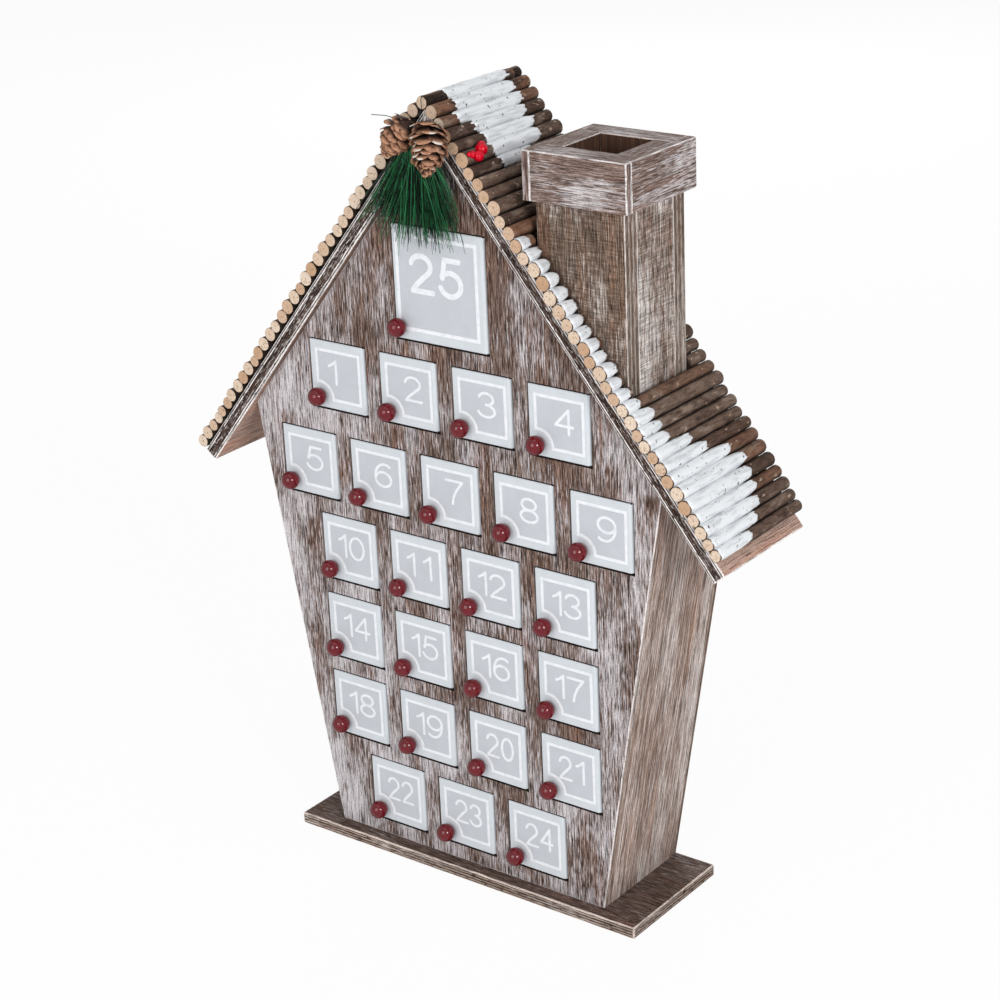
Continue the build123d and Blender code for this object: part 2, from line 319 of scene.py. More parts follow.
def islands(bm):
    """The separate boards of a mesh, each as a list of faces."""
    bm.faces.index_update()
    met, boards = set(), []
    for first in bm.faces:
        board, waiting = [], [first]
        while waiting:
            face = waiting.pop()
            if face.index not in met:
                met.add(face.index)
                board.append(face)
                waiting += [other for edge in face.edges for other in edge.link_faces]
        if board:
            boards.append(board)
    return boards


def square_axes(low, high):
    """Grain along a board's longest side, and its thickness along the shortest."""
    order = sorted(range(3), key=lambda axis: high[axis] - low[axis])
    return Vector([axis == order[2] for axis in range(3)]), Vector([axis == order[0] for axis in range(3)])


def none_spared(edge):
    """Leaves no edge sharp."""
    return False


SHARP, SHORTEST_WORN = math.radians(30), 2 * MM
ACROSS_SHARE, SEED_STEP = 0.6, 1.7


def wear(bm, width, axes=square_axes, spared=none_spared):
    """Round long sharp edges to a width in millimetres, apart from those spared, and lay the grain along each
    board, as UVs in metres."""
    bmesh.ops.recalc_face_normals(bm, faces=bm.faces)
    sharp = [e for e in bm.edges if e.calc_face_angle(0) > SHARP and e.calc_length() > SHORTEST_WORN]
    bmesh.ops.bevel(
        bm, geom=[edge for edge in sharp if not spared(edge)], offset=width * MM, offset_type="OFFSET",
        segments=2, profile=0.5, affect="EDGES", clamp_overlap=True, material=WORN,
    )
    uv = bm.loops.layers.uv.new("grain")
    seed = bm.faces.layers.float.new("seed")
    for number, board in enumerate(islands(bm)):
        places = [vert.co for face in board for vert in face.verts]
        low, high = (Vector([pick(axis) for axis in zip(*places)]) for pick in (min, max))
        grain, thick = axes(low, high)
        across = thick.cross(grain)
        bottom = min(place.dot(thick) for place in places)
        for face in board:
            face[seed] = number * SEED_STEP
            is_edge = abs(face.normal.dot(thick)) < ACROSS_SHARE
            is_end = abs(face.normal.dot(grain)) > ACROSS_SHARE
            if is_edge and face.material_index == FACE:
                face.material_index = EDGE
            for loop in face.loops:
                place = loop.vert.co
                u = place.dot(across if is_end else grain)
                loop[uv].uv = (u, place.dot(thick) - bottom if is_edge else place.dot(across))
    return bm


def placed(name, data):
    """A new object in the scene."""
    thing = bpy.data.objects.new(name, data)
    bpy.context.scene.collection.objects.link(thing)
    return thing


def ridden(name, mesh, body):
    """An object of a finished mesh that rides on a body."""
    piece = placed(name, mesh)
    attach(piece, body)
    return piece


def new_piece(name, bm, materials, body="house", smooth=False):
    """A piece of an edited mesh and its materials."""
    mesh = bpy.data.meshes.new(name)
    bm.to_mesh(mesh)
    bm.free()
    for material in materials:
        mesh.materials.append(material)
    mesh.polygons.foreach_set("use_smooth", [smooth] * len(mesh.polygons))
    return ridden(name, mesh, body)


# Sizes and the width of the worn corners, in millimetres
BASE_HALF_LENGTH, BASE_HALF_DEPTH, BASE_T, BASE_WEAR = 120.0, 41.0, 7.0, 0.8
base_plies = {
    "pitch": 1.75 * MM, "middle": 3.5 * MM, "core": 0.0, "strength": 0.7, "amount": 0.42,
    "stains": (seen(58, 42, 34), seen(108, 86, 74)), "wash": seen(206, 198, 195),
    "line": seen(196, 179, 166), "groove": seen(40, 27, 21),
}
base_stains = (seen(66, 50, 43), seen(116, 97, 89))
base_brown = board_materials(
    "base_board", base_stains, seen(176, 168, 166), 0.36, 0.35, seen(222, 206, 196), base_plies
)
base_outline = [(-BASE_HALF_LENGTH, 0.0), (BASE_HALF_LENGTH, 0.0)]
base_outline += [(x, BASE_T) for x, _ in base_outline[::-1]]
base_mesh = bmesh.new()
prism(base_mesh, base_outline, -BASE_HALF_DEPTH, BASE_HALF_DEPTH)
base = new_piece("base_board", wear(base_mesh, BASE_WEAR), base_brown)
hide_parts("base_plate")


# Side panels: two leaning boards between the front and the back panel, the same stained wood.
# Their grain runs up the slant, and more of the white paint is left on them than on the front.
SIDE_LEAN, SIDE_WEAR = math.radians(9.6), 0.3
side_stains = (seen(112, 92, 82), seen(174, 152, 140))
side_brown = board_materials(
    "side_board", side_stains, seen(214, 203, 199), 0.48, 0.45, seen(218, 210, 207), stretch=2.2
)
side_ends = [corner.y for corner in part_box("side_panels")]


def side_axes(low, high):
    """Grain up the slant of a side panel."""
    side = 1 if low.x > 0 else -1
    grain = Vector((side * math.sin(SIDE_LEAN), 0, math.cos(SIDE_LEAN)))
    return grain, Vector((side * math.cos(SIDE_LEAN), 0, -math.sin(SIDE_LEAN)))


def at_joint(edge):
    """Whether an edge of a side panel lies against the front or the back panel."""
    return all(min(abs(vert.co.y - end) for end in side_ends) < NEAR for vert in edge.verts)


side_mesh = wear(cad_copy("side_panels"), SIDE_WEAR, side_axes, at_joint)
sides = new_piece("side_boards", side_mesh, side_brown)
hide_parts("side_panels")


# Front panel: a gabled plywood board with a cut-out for each door, brushed along its upright grain.
# It is the CAD panel with worn corners; the doors' pins are pressed into the bars between the cut-outs.
FRONT_WEAR, CUT_OUT = 0.55, 3
PANEL_FOOT = 8 * MM
SQUARE_SHARE, RIGHT_SHARE = 0.999, 0.5
# The range that most of a noise lies in
EVEN = (0.3, 0.7)


def mottled_material(name, stretch, detail, colours=None, span=EVEN, shine=None, depth=None, **constants):
    """A material mottled by noise: between two colours over a span of the noise, and in its roughness from
    the first to the second shine, with bumps of a depth in metres."""
    material, tree, shader = new_material(name, **constants)
    mottle = noise(object_place(tree), stretch, detail)
    if colours:
        feed(shader, Base_Color=mix(ramp(mottle, *span), *colours))
    if shine:
        feed(shader, Roughness=ramp(mottle, *EVEN, *shine))
    if depth:
        rough_up(shader, mottle, depth)
    return material


front_stains = (seen(66, 49, 41), seen(136, 114, 104))
front_brown = board_materials(
    "front_board", front_stains, seen(208, 202, 205), 0.51, 0.55, seen(228, 222, 221),
    fade=(-0.30, -0.55, 0.85),
)
front_brown[EDGE] = side_brown[FACE]
# Near-black painted shade on the walls of the doors' cut-outs, so that the gaps round the leaves read dark
front_brown.append(mottled_material(
    "cut_out_shade", (400.0, 400.0, 90.0), 2.0, (seen(30, 23, 20), seen(58, 45, 39)), (0.35, 0.65),
    Roughness=0.9, Specular_IOR_Level=0.1,
))
front_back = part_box("front_panel")[1].y


def is_cut_out(face):
    """Whether a face of the front panel is a wall of a door's cut-out."""
    square = max(abs(face.normal.x), abs(face.normal.z)) > SQUARE_SHARE
    return square and face.calc_center_median().z > PANEL_FOOT


def left_sharp(edge):
    """Whether an edge borders a door's cut-out, or lies at the back, against the side panels."""
    at_back = all(vert.co.y > front_back - NEAR for vert in edge.verts)
    return at_back or any(is_cut_out(face) for face in edge.link_faces)


front_mesh = wear(cad_copy("front_panel"), FRONT_WEAR, spared=left_sharp)
# The cut-outs' walls take that painted shade, apart from those facing right
for face in front_mesh.faces:
    if is_cut_out(face) and face.normal.x < RIGHT_SHARE:
        face.material_index = CUT_OUT
front = new_piece("front_board", front_mesh, front_brown)
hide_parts("front_panel")


# Back panel and compartments: a thin stained back, and a grid of unpainted ply shelves and dividers.
# The shelves stand a little above the sills, so that they stop the doors; steel pins carry the doors.
BACK_WEAR, GRID_WEAR = 0.3, 0.15
back_stains = (seen(88, 70, 60), seen(132, 112, 102))
back_brown = board_materials("back_board", back_stains, seen(176, 164, 158), 0.34, 0.4, seen(190, 178, 170))
back = new_piece("back_board", wear(cad_copy("back_panel"), BACK_WEAR), back_brown)
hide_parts("back_panel")
bare_stains = (seen(150, 118, 84), seen(196, 164, 124))
bare_plies = {
    "pitch": 1.0 * MM, "middle": 0.0, "core": 0.0, "strength": 0.8, "stains": bare_stains,
    "line": seen(206, 178, 140), "groove": seen(150, 116, 80),
}
bare_ply = board_materials(
    "bare_ply", bare_stains, seen(214, 188, 152), 0.35, 0.3, seen(220, 196, 160), bare_plies
)
grid = new_piece("compartment_boards", wear(cad_copy("compartment_grid"), GRID_WEAR), bare_ply)
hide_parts("compartment_grid")
pin_steel = mottled_material(
    "pin_steel", (900.0, 900.0, 120.0), 2.0, shine=(0.25, 0.45), Metallic=1.0, Base_Color=seen(176, 176, 180)
)
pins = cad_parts["hinge_pins"]
pins.data.materials.clear()
pins.data.materials.append(pin_steel)


# Roof boards: two plywood boards mitred at the ridge, with plies that show as pale lines at the front.
# A strip of each is bare at the eave, beyond the last twig. Their faces darken high up under the ridge, as
# painted shade standing for the shadow under the overhang.
ROOF_PITCH, ROOF_WEAR = math.radians(51.0), 0.7
ROOF_LENGTH, ROOF_T, RIDGE_Z = 272.0, 8.5, 434.5
ROOF_FRONT, ROOF_BACK = -37.0, 41.0
roof_plies = {
    "pitch": 1.7 * MM, "middle": 4.25 * MM, "core": 1.9 * MM, "strength": 1.0, "amount": 0.36, "scuff": 0.75,
    "stains": (seen(42, 28, 22), seen(84, 62, 52)), "wash": seen(228, 220, 217),
    "line": seen(244, 238, 236), "groove": seen(30, 19, 15),
}
roof_stains = (seen(174, 143, 130), seen(196, 166, 152))
# The faces get painted shade between these heights, darkest high up under the ridge
roof_brown = board_materials(
    "roof_board", roof_stains, seen(192, 170, 158), 0.30, 0.3, seen(242, 236, 233), roof_plies,
    painted_shade=(0.245, 0.300),
)
ridge_top = (0.0, RIDGE_Z + ROOF_T / math.cos(ROOF_PITCH))


def on_roof(along, above, side):
    """X and Z in millimetres of a place along a slope from the ridge, above the board's underside."""
    x = along * math.cos(ROOF_PITCH) + above * math.sin(ROOF_PITCH)
    return side * x, RIDGE_Z - along * math.sin(ROOF_PITCH) + above * math.cos(ROOF_PITCH)


def roof_axes(low, high):
    """Grain along the ridge, and a roof board's thickness square to its slope."""
    side = 1 if low.x + high.x > 0 else -1
    return Vector((0, 1, 0)), Vector((side * math.sin(ROOF_PITCH), 0, math.cos(ROOF_PITCH)))


roof_mesh = bmesh.new()
for side in (1, -1):
    eave = [on_roof(ROOF_LENGTH, above, side) for above in (0.0, ROOF_T)]
    prism(roof_mesh, [(0.0, RIDGE_Z), *eave, ridge_top], ROOF_FRONT, ROOF_BACK)
roof = new_piece("roof_panels", wear(roof_mesh, ROOF_WEAR, roof_axes), roof_brown)
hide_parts("roof_boards")


# Twigs: round sticks with their bark on, glued side by side down both slopes, and one along the ridge.
# Paths are read from the CAD rods; Geometry Nodes make a lumpy stick along each, with a pale sawn end.

# Corners of a face on a stick's side, the least share of a cut end, and the step between the sticks' seeds
SIDE_CORNERS, CUT_SHARE, STICK_SEED_STEP = 4, 0.9, 1.3


def named(tree, name):
    """An attribute of a growing geometry."""
    return add(tree, "GeometryNodeInputNamedAttribute", {"Name": name}).outputs[0]


def finish_tree(tree, geometry, result, *looks):
    """Feed real meshes to a tree's result, with looks that are each a material and the faces it goes on."""
    made = add(tree, "GeometryNodeRealizeInstances", {"Geometry": geometry}).outputs[0]
    for material, chosen in looks:
        look = {"Geometry": made, "Material": material, "Selection": chosen}
        made = add(tree, "GeometryNodeSetMaterial", look).outputs[0]
    feed(result, Geometry=made)


def sticks_tree():
    """Nodes that make a stick along each path, with its radius, and set bark and end materials."""
    inputs = {"Geometry": "Geometry", "Sides": "Int", "Lump": "Float", "Lump Scale": "Float"}
    inputs.update({"Bark": "Material", "End": "Material"})
    tree, given, result = new_group("sticks", inputs, {"Geometry": "Geometry"}, "GeometryNodeTree")
    paths = add(tree, "GeometryNodeMeshToCurve", {"Mesh": given["Geometry"]}).outputs[0]
    circle = {"Resolution": given["Sides"], "Radius": 1.0}
    ring = add(tree, "GeometryNodeCurvePrimitiveCircle", circle).outputs[0]
    form = {"Curve": paths, "Profile Curve": ring, "Scale": named(tree, "radius"), "Fill Caps": True}
    sticks = add(tree, "GeometryNodeCurveToMesh", form).outputs[0]
    place = tree.nodes.new("GeometryNodeInputPosition").outputs[0]
    rough = {"Vector": place, "W": named(tree, "seed"), "Scale": given["Lump Scale"], "Detail": 2.0}
    lump = add(tree, "ShaderNodeTexNoise", rough, noise_dimensions="4D").outputs[0]
    lump = maths("MULTIPLY", maths("SUBTRACT", lump, 0.5), given["Lump"])
    normal = tree.nodes.new("GeometryNodeInputNormal").outputs[0]
    offset = add(tree, "ShaderNodeVectorMath", {0: normal, "Scale": lump}, operation="SCALE").outputs[0]
    sticks = add(tree, "GeometryNodeSetPosition", {"Geometry": sticks, "Offset": offset}).outputs[0]
    at_end = maths("GREATER_THAN", named(tree, "cut"), CUT_SHARE)
    finish_tree(tree, sticks, result, (given["Bark"], True), (given["End"], at_end))
    return tree


def grown(name, mesh, tree, inputs, transform=None):
    """A plain mesh piece made by a Geometry Nodes tree from a mesh, with the tree's inputs by name."""
    source = placed(name + "_source", mesh)
    modifier = source.modifiers.new(name, "NODES")
    modifier.node_group = tree
    for item in tree.interface.items_tree:
        if item.in_out == "INPUT" and item.name in inputs:
            modifier[item.identifier] = inputs[item.name]
    graph = bpy.context.evaluated_depsgraph_get()
    made = bpy.data.meshes.new_from_object(source.evaluated_get(graph), depsgraph=graph)
    bpy.data.objects.remove(source)
    made.name = name
    if transform:
        made.transform(transform)
    made.polygons.foreach_set("use_smooth", [len(p.vertices) <= SIDE_CORNERS for p in made.polygons])
    return ridden(name, made, "house")


def path_mesh(name, paths):
    """A mesh of polylines from lists of (place, radius, is cut end), in metres, one list for each stick."""
    mesh = bpy.data.meshes.new(name)
    points = [point for path in paths for point in path]
    edges, start = [], 0
    for path in paths:
        edges += [(i, i + 1) for i in range(start, start + len(path) - 1)]
        start += len(path)
    mesh.from_pydata([place for place, _, _ in points], edges, [])
    values = {
        "radius": [radius for _, radius, _ in points],
        "girth": [radius for _, radius, _ in points],
        "cut": [float(is_cut) for _, _, is_cut in points],
        "seed": [number * STICK_SEED_STEP for number, path in enumerate(paths) for _ in path],
    }
    for label, numbers in values.items():
        mesh.attributes.new(label, "FLOAT", "POINT").data.foreach_set("value", numbers)
    axis = mesh.attributes.new("axis", "FLOAT_VECTOR", "POINT")
    axis.data.foreach_set("vector", [number for place, _, _ in points for number in place])
    return mesh


def cad_rods(node):
    """Middle X and Z, radius, and front and back Y of each CAD rod along Y, in metres."""
    bm, rods = cad_copy(node), []
    for rod in islands(bm):
        places = [vert.co for face in rod for vert in face.verts]
        (x0, x1), (y0, y1), (z0, z1) = [(min(axis), max(axis)) for axis in zip(*places)]
        rods.append(((x0 + x1) / 2, (z0 + z1) / 2, (z1 - z0) / 2, y0, y1))
    bm.free()
    return rods


TWIG_RIM, TWIG_STEP, FEWEST_STEPS = 0.3 * MM, 6 * MM, 3
TWIG_SWING, TWIG_THICKNESS, FULL_TURN = (0.1, 0.35), (0.96, 1.03), 6.28
FRONT_TAPER, BACK_TAPER = 0.97, 0.95


def twig_path(x, z, radius, front, back, chance):
    """A slightly bent stick with a worn rim at each end, pale where it is sawn, but not where it meets the
    chimney."""
    swing, turn = chance.uniform(*TWIG_SWING) * MM, chance.uniform(0, FULL_TURN)
    front_sawn, back_sawn = front < ROOF_FRONT * MM, back > ROOF_BACK * MM
    path = [(Vector((x, front, z)), radius * FRONT_TAPER, front_sawn)]
    path.append((Vector((x, front + TWIG_RIM, z)), radius, False))
    steps = max(FEWEST_STEPS, round((back - front) / TWIG_STEP))
    for i in range(1, steps):
        share = i / steps
        bend = swing * math.sin(math.pi * share * 2 + turn) * math.sin(math.pi * share)
        place = Vector((x + bend, front + (back - front) * share, z + bend * 0.5))
        path.append((place, radius * chance.uniform(*TWIG_THICKNESS), False))
    path.append((Vector((x, back - TWIG_RIM, z)), radius, False))
    path.append((Vector((x, back, z)), radius * BACK_TAPER, back_sawn))
    return path


def own_value(tree, step):
    """A number from 0 to 1 of each stick's own, from its seed."""
    return maths("FRACT", maths("MULTIPLY", attribute(tree, "seed"), step))


def layered(colour, *layers):
    """A colour under layers of others, each with its mask."""
    for mask, tint in layers:
        colour = mix(mask, colour, tint)
    return colour


def bark_material():
    """Brown bark, each twig in its own tone, with fissures, blotches and chips, and painted shade that
    darkens each twig from near its crown down its lower half, between the twigs.
    """
    material, tree, shader = new_material("twig_bark", Specular_IOR_Level=0.2)
    place = object_place(tree)
    fissure = noise(place, (700.0, 160.0, 700.0), 4.0, 0.65)
    blotch = noise(place, (130.0, 55.0, 130.0), 3.0)
    chip = noise(place, (330.0, 210.0, 330.0), 2.0)
    colour = layered(
        mix(own_value(tree, 0.617), seen(74, 56, 47), seen(110, 90, 78)),
        (ramp(own_value(tree, 0.271), 0.60, 0.95), seen(124, 88, 68)),
        (ramp(blotch, 0.52, 0.70), seen(132, 114, 102)),
        (ramp(blotch, 0.46, 0.30), seen(66, 50, 42)),
        (ramp(chip, 0.66, 0.70), seen(168, 146, 130)),
    )
    # Height of each point above its twig's axis, square to the slope, for the painted shade below
    axis = attribute(tree, "axis", "Vector")
    sideways = maths("MULTIPLY", maths("SIGN", split(axis)[0]), math.sin(ROOF_PITCH))
    outward = add(tree, "ShaderNodeCombineXYZ", {0: sideways, 2: math.cos(ROOF_PITCH)}).outputs[0]
    height = vector_maths("DOT_PRODUCT", vector_maths("SUBTRACT", place, axis), outward)
    height = maths("DIVIDE", height, attribute(tree, "girth"))
    # Darker in the fissures, and painted shade from near each twig's crown down to its middle and below
    shade = ramp(fissure, 0.36, 0.58, 0.62, 1.08)
    shade = maths("MULTIPLY", shade, ramp(height, 0.0, 0.85, 0.12, 1.0))
    feed(shader, Base_Color=mix(1.0, colour, shade, "MULTIPLY"))
    feed(shader, Roughness=ramp(fissure, *EVEN, 0.92, 0.72))
    rough_up(shader, fissure, 0.6 * MM)
    return material


RINGS, RING_WOBBLE = 26.0, 0.25


def sawn_material():
    """Pale sawn wood with faint rings, each end in its own tone, darker at its middle and its rim."""
    material, tree, shader = new_material("sawn_end", Roughness=0.8, Specular_IOR_Level=0.2)
    place = object_place(tree)
    speck = noise(place, (900.0, 900.0, 900.0), 3.0)
    out = vector_maths("DISTANCE", place, attribute(tree, "axis", "Vector"))
    out = maths("DIVIDE", out, attribute(tree, "girth"))
    out = maths("MULTIPLY_ADD", speck, RING_WOBBLE, maths("SUBTRACT", out, RING_WOBBLE / 2))
    ring = maths("SINE", maths("MULTIPLY", out, RINGS))
    colour = layered(
        mix(own_value(tree, 0.731), seen(192, 156, 126), seen(230, 214, 196)),
        (ramp(ring, -1.0, 1.0, 0.0, 0.28), seen(178, 144, 114)),
        (ramp(speck, 0.50, 0.74), seen(168, 132, 102)),
        (ramp(out, 0.16, 0.05), seen(164, 128, 98)),
        (ramp(out, 0.90, 1.02), seen(166, 136, 108)),
    )
    feed(shader, Base_Color=colour)
    rough_up(shader, speck, 0.3 * MM)
    return material


sticks = sticks_tree()
twig_chance = random.Random(11)
twig_rods = cad_rods("roof_twigs")
twig_paths = path_mesh("twig_paths", [twig_path(*rod, twig_chance) for rod in twig_rods])
twig_form = {"Sides": 14, "Lump": 0.55 * MM, "Lump Scale": 260.0}
twig_form.update({"Bark": bark_material(), "End": sawn_material()})
twigs = grown("twigs", twig_paths, sticks, twig_form)
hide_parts("roof_twigs")


# Snow: thick white paint brushed onto the right slope, in fingers that end raggedly along the twigs.
# One patch lies near the ridge and one runs down the front edge; each finger is a thin shell on a twig.
SNOW_REACH, SNOW_T, RIDGE_LEAN = math.radians(92), 0.5 * MM, math.radians(24)
SNOW_STEP, SNOW_SIDES, SNOW_SINK, SNOW_RIM = 1.5 * MM, 5, 0.5 * MM, 0.10 * MM
FEWEST_RINGS, LEAST_SWELL, SWELL_CHANCES, LIFT_CHANCES = 8, 0.10, (0.93, 1.05), (0.85, 1.15)
MARK_LENGTH, MARK_TAPER = 7 * MM, 4 * MM
MARK_OVERRUN, MARK_LEANS, MARK_REACHES = (0.0, 2.5), (0.2, 0.8), (12, 24)
GROOVE_SHARE, GROOVE_RISE, GROOVE_SHORT = 0.36, -0.08, (1, 5)
UPPER_TAPER, LOWER_START, LOWER_TAPER, LONGEST_TAPER = (3, 8), (0.05, 0.35), 0.45, 12
# Where the paint starts and stops on the ridge twig and those below it, in shares of a twig's length
UPPER_SNOW = (
    (0.20, 0.85), (0.20, 0.82), (0.15, 0.82), (0.26, 0.79), (0.28, 0.80), (0.27, 0.76), (0.30, 0.62),
)
# Length of the paint at the front of each twig further down, in millimetres
LOWER_FIRST = 12
LOWER_SNOW = (
    8.3, 13.7, 14.0, 13.4, 14.0, 11.6, 12.3, 13.4, 14.4, 15.5, 12.6, 10.1, 11.6, 12.3, 17.0, 18.6, 18.6,
    32.0, 39.0, 55.0, 60.0, 59.0, 56.0, 51.0, 43.0, 31.0,
)


def snow_finger(bm, rod, start, stop, taper, chance, lean=0.0, reach=SNOW_REACH, lead=2.5 * MM):
    """A shell of paint on a twig's outer side from start to stop along Y, rounded off over lead and taper."""
    x, z, radius = rod[:3]
    facing = lean + (ROOF_PITCH if x > MM else RIDGE_LEAN)
    steps = max(FEWEST_RINGS, round((stop - start) / SNOW_STEP))
    rings = []
    for i in range(steps + 1):
        y = start + (stop - start) * i / steps
        to_end = max(min((y - start) / lead, (stop - y) / taper, 1), 0)
        swell = (1 - LEAST_SWELL) * math.sqrt(to_end) * chance.uniform(*SWELL_CHANCES)
        swell = min(LEAST_SWELL + swell, 1)
        outer, inner = [], []
        for j in range(2 * SNOW_SIDES + 1):
            across = j / SNOW_SIDES - 1
            turn = facing + reach * swell * across
            away = Vector((math.sin(turn), 0, math.cos(turn)))
            lift = SNOW_RIM + SNOW_T * swell * (1 - across ** 4) * chance.uniform(*LIFT_CHANCES)
            outer.append(bm.verts.new(Vector((x, y, z)) + away * (radius + lift)))
            inner.append(bm.verts.new(Vector((x, y, z)) + away * (radius - SNOW_SINK)))
        rings.append(outer + inner[::-1])
    close_rings(bm, rings)


def ragged_end(bm, rod, stop, way, chance):
    """Two thin brush marks that run on past the end of a finger, to the back for a way of 1."""
    for side in (-1, 1):
        tip = stop + way * chance.uniform(*MARK_OVERRUN) * MM
        ends = sorted((tip - way * MARK_LENGTH, tip))
        lean, reach = side * chance.uniform(*MARK_LEANS), math.radians(chance.uniform(*MARK_REACHES))
        snow_finger(bm, rod, *ends, MARK_TAPER, chance, lean, reach)


def fill_groove(bm, first, second, chance):
    """Paint that fills part of the groove between two painted twigs; each is (rod, start, stop)."""
    (one, start, stop), (other, other_start, other_stop) = first, second
    radius, rise = one[2] * GROOVE_SHARE, one[2] * GROOVE_RISE
    x = (one[0] + other[0]) / 2 + rise * math.sin(ROOF_PITCH)
    z = (one[1] + other[1]) / 2 + rise * math.cos(ROOF_PITCH)
    start, stop = max(start, other_start) + MM, min(stop, other_stop) - chance.uniform(*GROOVE_SHORT) * MM
    if stop - start > MARK_TAPER:
        snow_finger(bm, (x, z, radius), start, stop, MARK_TAPER, chance)


def snow_material():
    """White paint with brush marks and a few dark specks."""
    material, tree, shader = new_material("snow_paint", Roughness=0.6, Specular_IOR_Level=0.3)
    place = object_place(tree)
    brush = noise(place, (420.0, 70.0, 420.0), 3.0)
    speck = ramp(noise(place, (460.0, 460.0, 460.0), 1.0), 0.70, 0.73)
    colour = mix(ramp(brush, 0.32, 0.56), seen(204, 207, 211), seen(231, 234, 237))
    feed(shader, Base_Color=mix(speck, colour, seen(92, 80, 72)))
    rough_up(shader, brush, 1.0 * MM)
    return material


snow_chance = random.Random(5)
snow_mesh = bmesh.new()
snowy = sorted(rod for rod in twig_rods if rod[0] > -MM and rod[3] < 0)
upper_fingers = []
for rod, (start, stop) in zip(snowy, UPPER_SNOW):
    front, length = rod[3], rod[4] - rod[3]
    start, stop = front + start * length, front + stop * length
    upper_fingers.append((rod, start, stop))
    snow_finger(snow_mesh, rod, start, stop, snow_chance.uniform(*UPPER_TAPER) * MM, snow_chance)
    ragged_end(snow_mesh, rod, start, -1, snow_chance)
    ragged_end(snow_mesh, rod, stop, 1, snow_chance)
for rod, length in zip(snowy[LOWER_FIRST:], LOWER_SNOW):
    start = rod[3] + snow_chance.uniform(*LOWER_START) * MM
    stop = min(rod[3] + length * MM, rod[4] - 2 * MM)
    taper = min(length * LOWER_TAPER, LONGEST_TAPER) * MM
    snow_finger(snow_mesh, rod, start, stop, taper, snow_chance, lead=0.5 * MM)
    ragged_end(snow_mesh, rod, stop - 1.5 * MM, 1, snow_chance)
for first, second in zip(upper_fingers, upper_fingers[1:]):
    fill_groove(snow_mesh, first, second, snow_chance)
bmesh.ops.recalc_face_normals(snow_mesh, faces=snow_mesh.faces)
new_piece("snow", snow_mesh, [snow_material()], smooth=True)


# Chimney: four rough-sawn boards round a flue, standing on the right slope, with trim boards at the top.
# The front and back boards cover the side boards' edges, and each trim board laps the next.
CHIMNEY_X, CHIMNEY_Y, CHIMNEY_HALF, CHIMNEY_WALL, CHIMNEY_TOP = 87.7, 0.5, 27.0, 10.5, 432.0
TRIM_T, TRIM_HEIGHT = 4.7, 26.0
SHAFT_WEAR, TRIM_WEAR = 0.5, 0.6
FLUE, CAP, UP_SHARE = 3, 4, 0.9
inner_half = CHIMNEY_HALF - CHIMNEY_WALL
shaft_stains = (seen(86, 69, 59), seen(127, 109, 96))
shaft_plies = {
    "pitch": 3.5 * MM, "middle": 0.0, "core": 0.0, "strength": 0.4, "stains": shaft_stains,
    "line": seen(206, 198, 192), "groove": seen(112, 94, 84),
}
shaft_brown = board_materials(
    "shaft_board", shaft_stains, seen(194, 184, 177), 0.40, 0.65, seen(210, 200, 194), shaft_plies, saw=0.30
)
cheek_stains = (seen(94, 76, 66), seen(150, 130, 118))
cheek_brown = board_materials(
    "cheek_board", cheek_stains, seen(208, 200, 196), 0.53, 0.5, seen(214, 206, 202), shaft_plies, saw=0.30
)
trim_stains = (seen(96, 78, 70), seen(146, 125, 117))
trim_brown = board_materials("trim_board", trim_stains, seen(204, 198, 199), 0.46, 0.6, seen(230, 224, 223))
flue_wood = mottled_material(
    "flue_wood", (500.0, 500.0, 30.0), 3.0, (seen(56, 37, 28), seen(84, 59, 46)), depth=0.3 * MM,
    Roughness=0.85, Specular_IOR_Level=0.2,
)


def roof_top_z(x):
    """Height of the right roof board's upper face, in millimetres."""
    return RIDGE_Z + ROOF_T / math.cos(ROOF_PITCH) - math.tan(ROOF_PITCH) * x


def upright_axes(low, high):
    """Grain up a shaft board, its thickness the shorter of the other two sides."""
    through_x = high.x - low.x < high.y - low.y
    return Vector((0, 0, 1)), Vector((through_x, not through_x, 0))


def inside_cap(edge):
    """Whether an edge lies in the top of the chimney, between the flue's rim and the outer corner."""
    middle = (edge.verts[0].co + edge.verts[1].co) / 2 - Vector((CHIMNEY_X, CHIMNEY_Y, CHIMNEY_TOP)) * MM
    out = max(abs(middle.x), abs(middle.y))
    return abs(middle.z) < NEAR and inner_half * MM + NEAR < out < CHIMNEY_HALF * MM + NEAR


def trim_sharp(edge):
    """Whether an edge of the trim lies in the top of the chimney or at the trim's foot."""
    foot = (CHIMNEY_TOP - TRIM_HEIGHT) * MM + NEAR
    return inside_cap(edge) or all(vert.co.z < foot for vert in edge.verts)


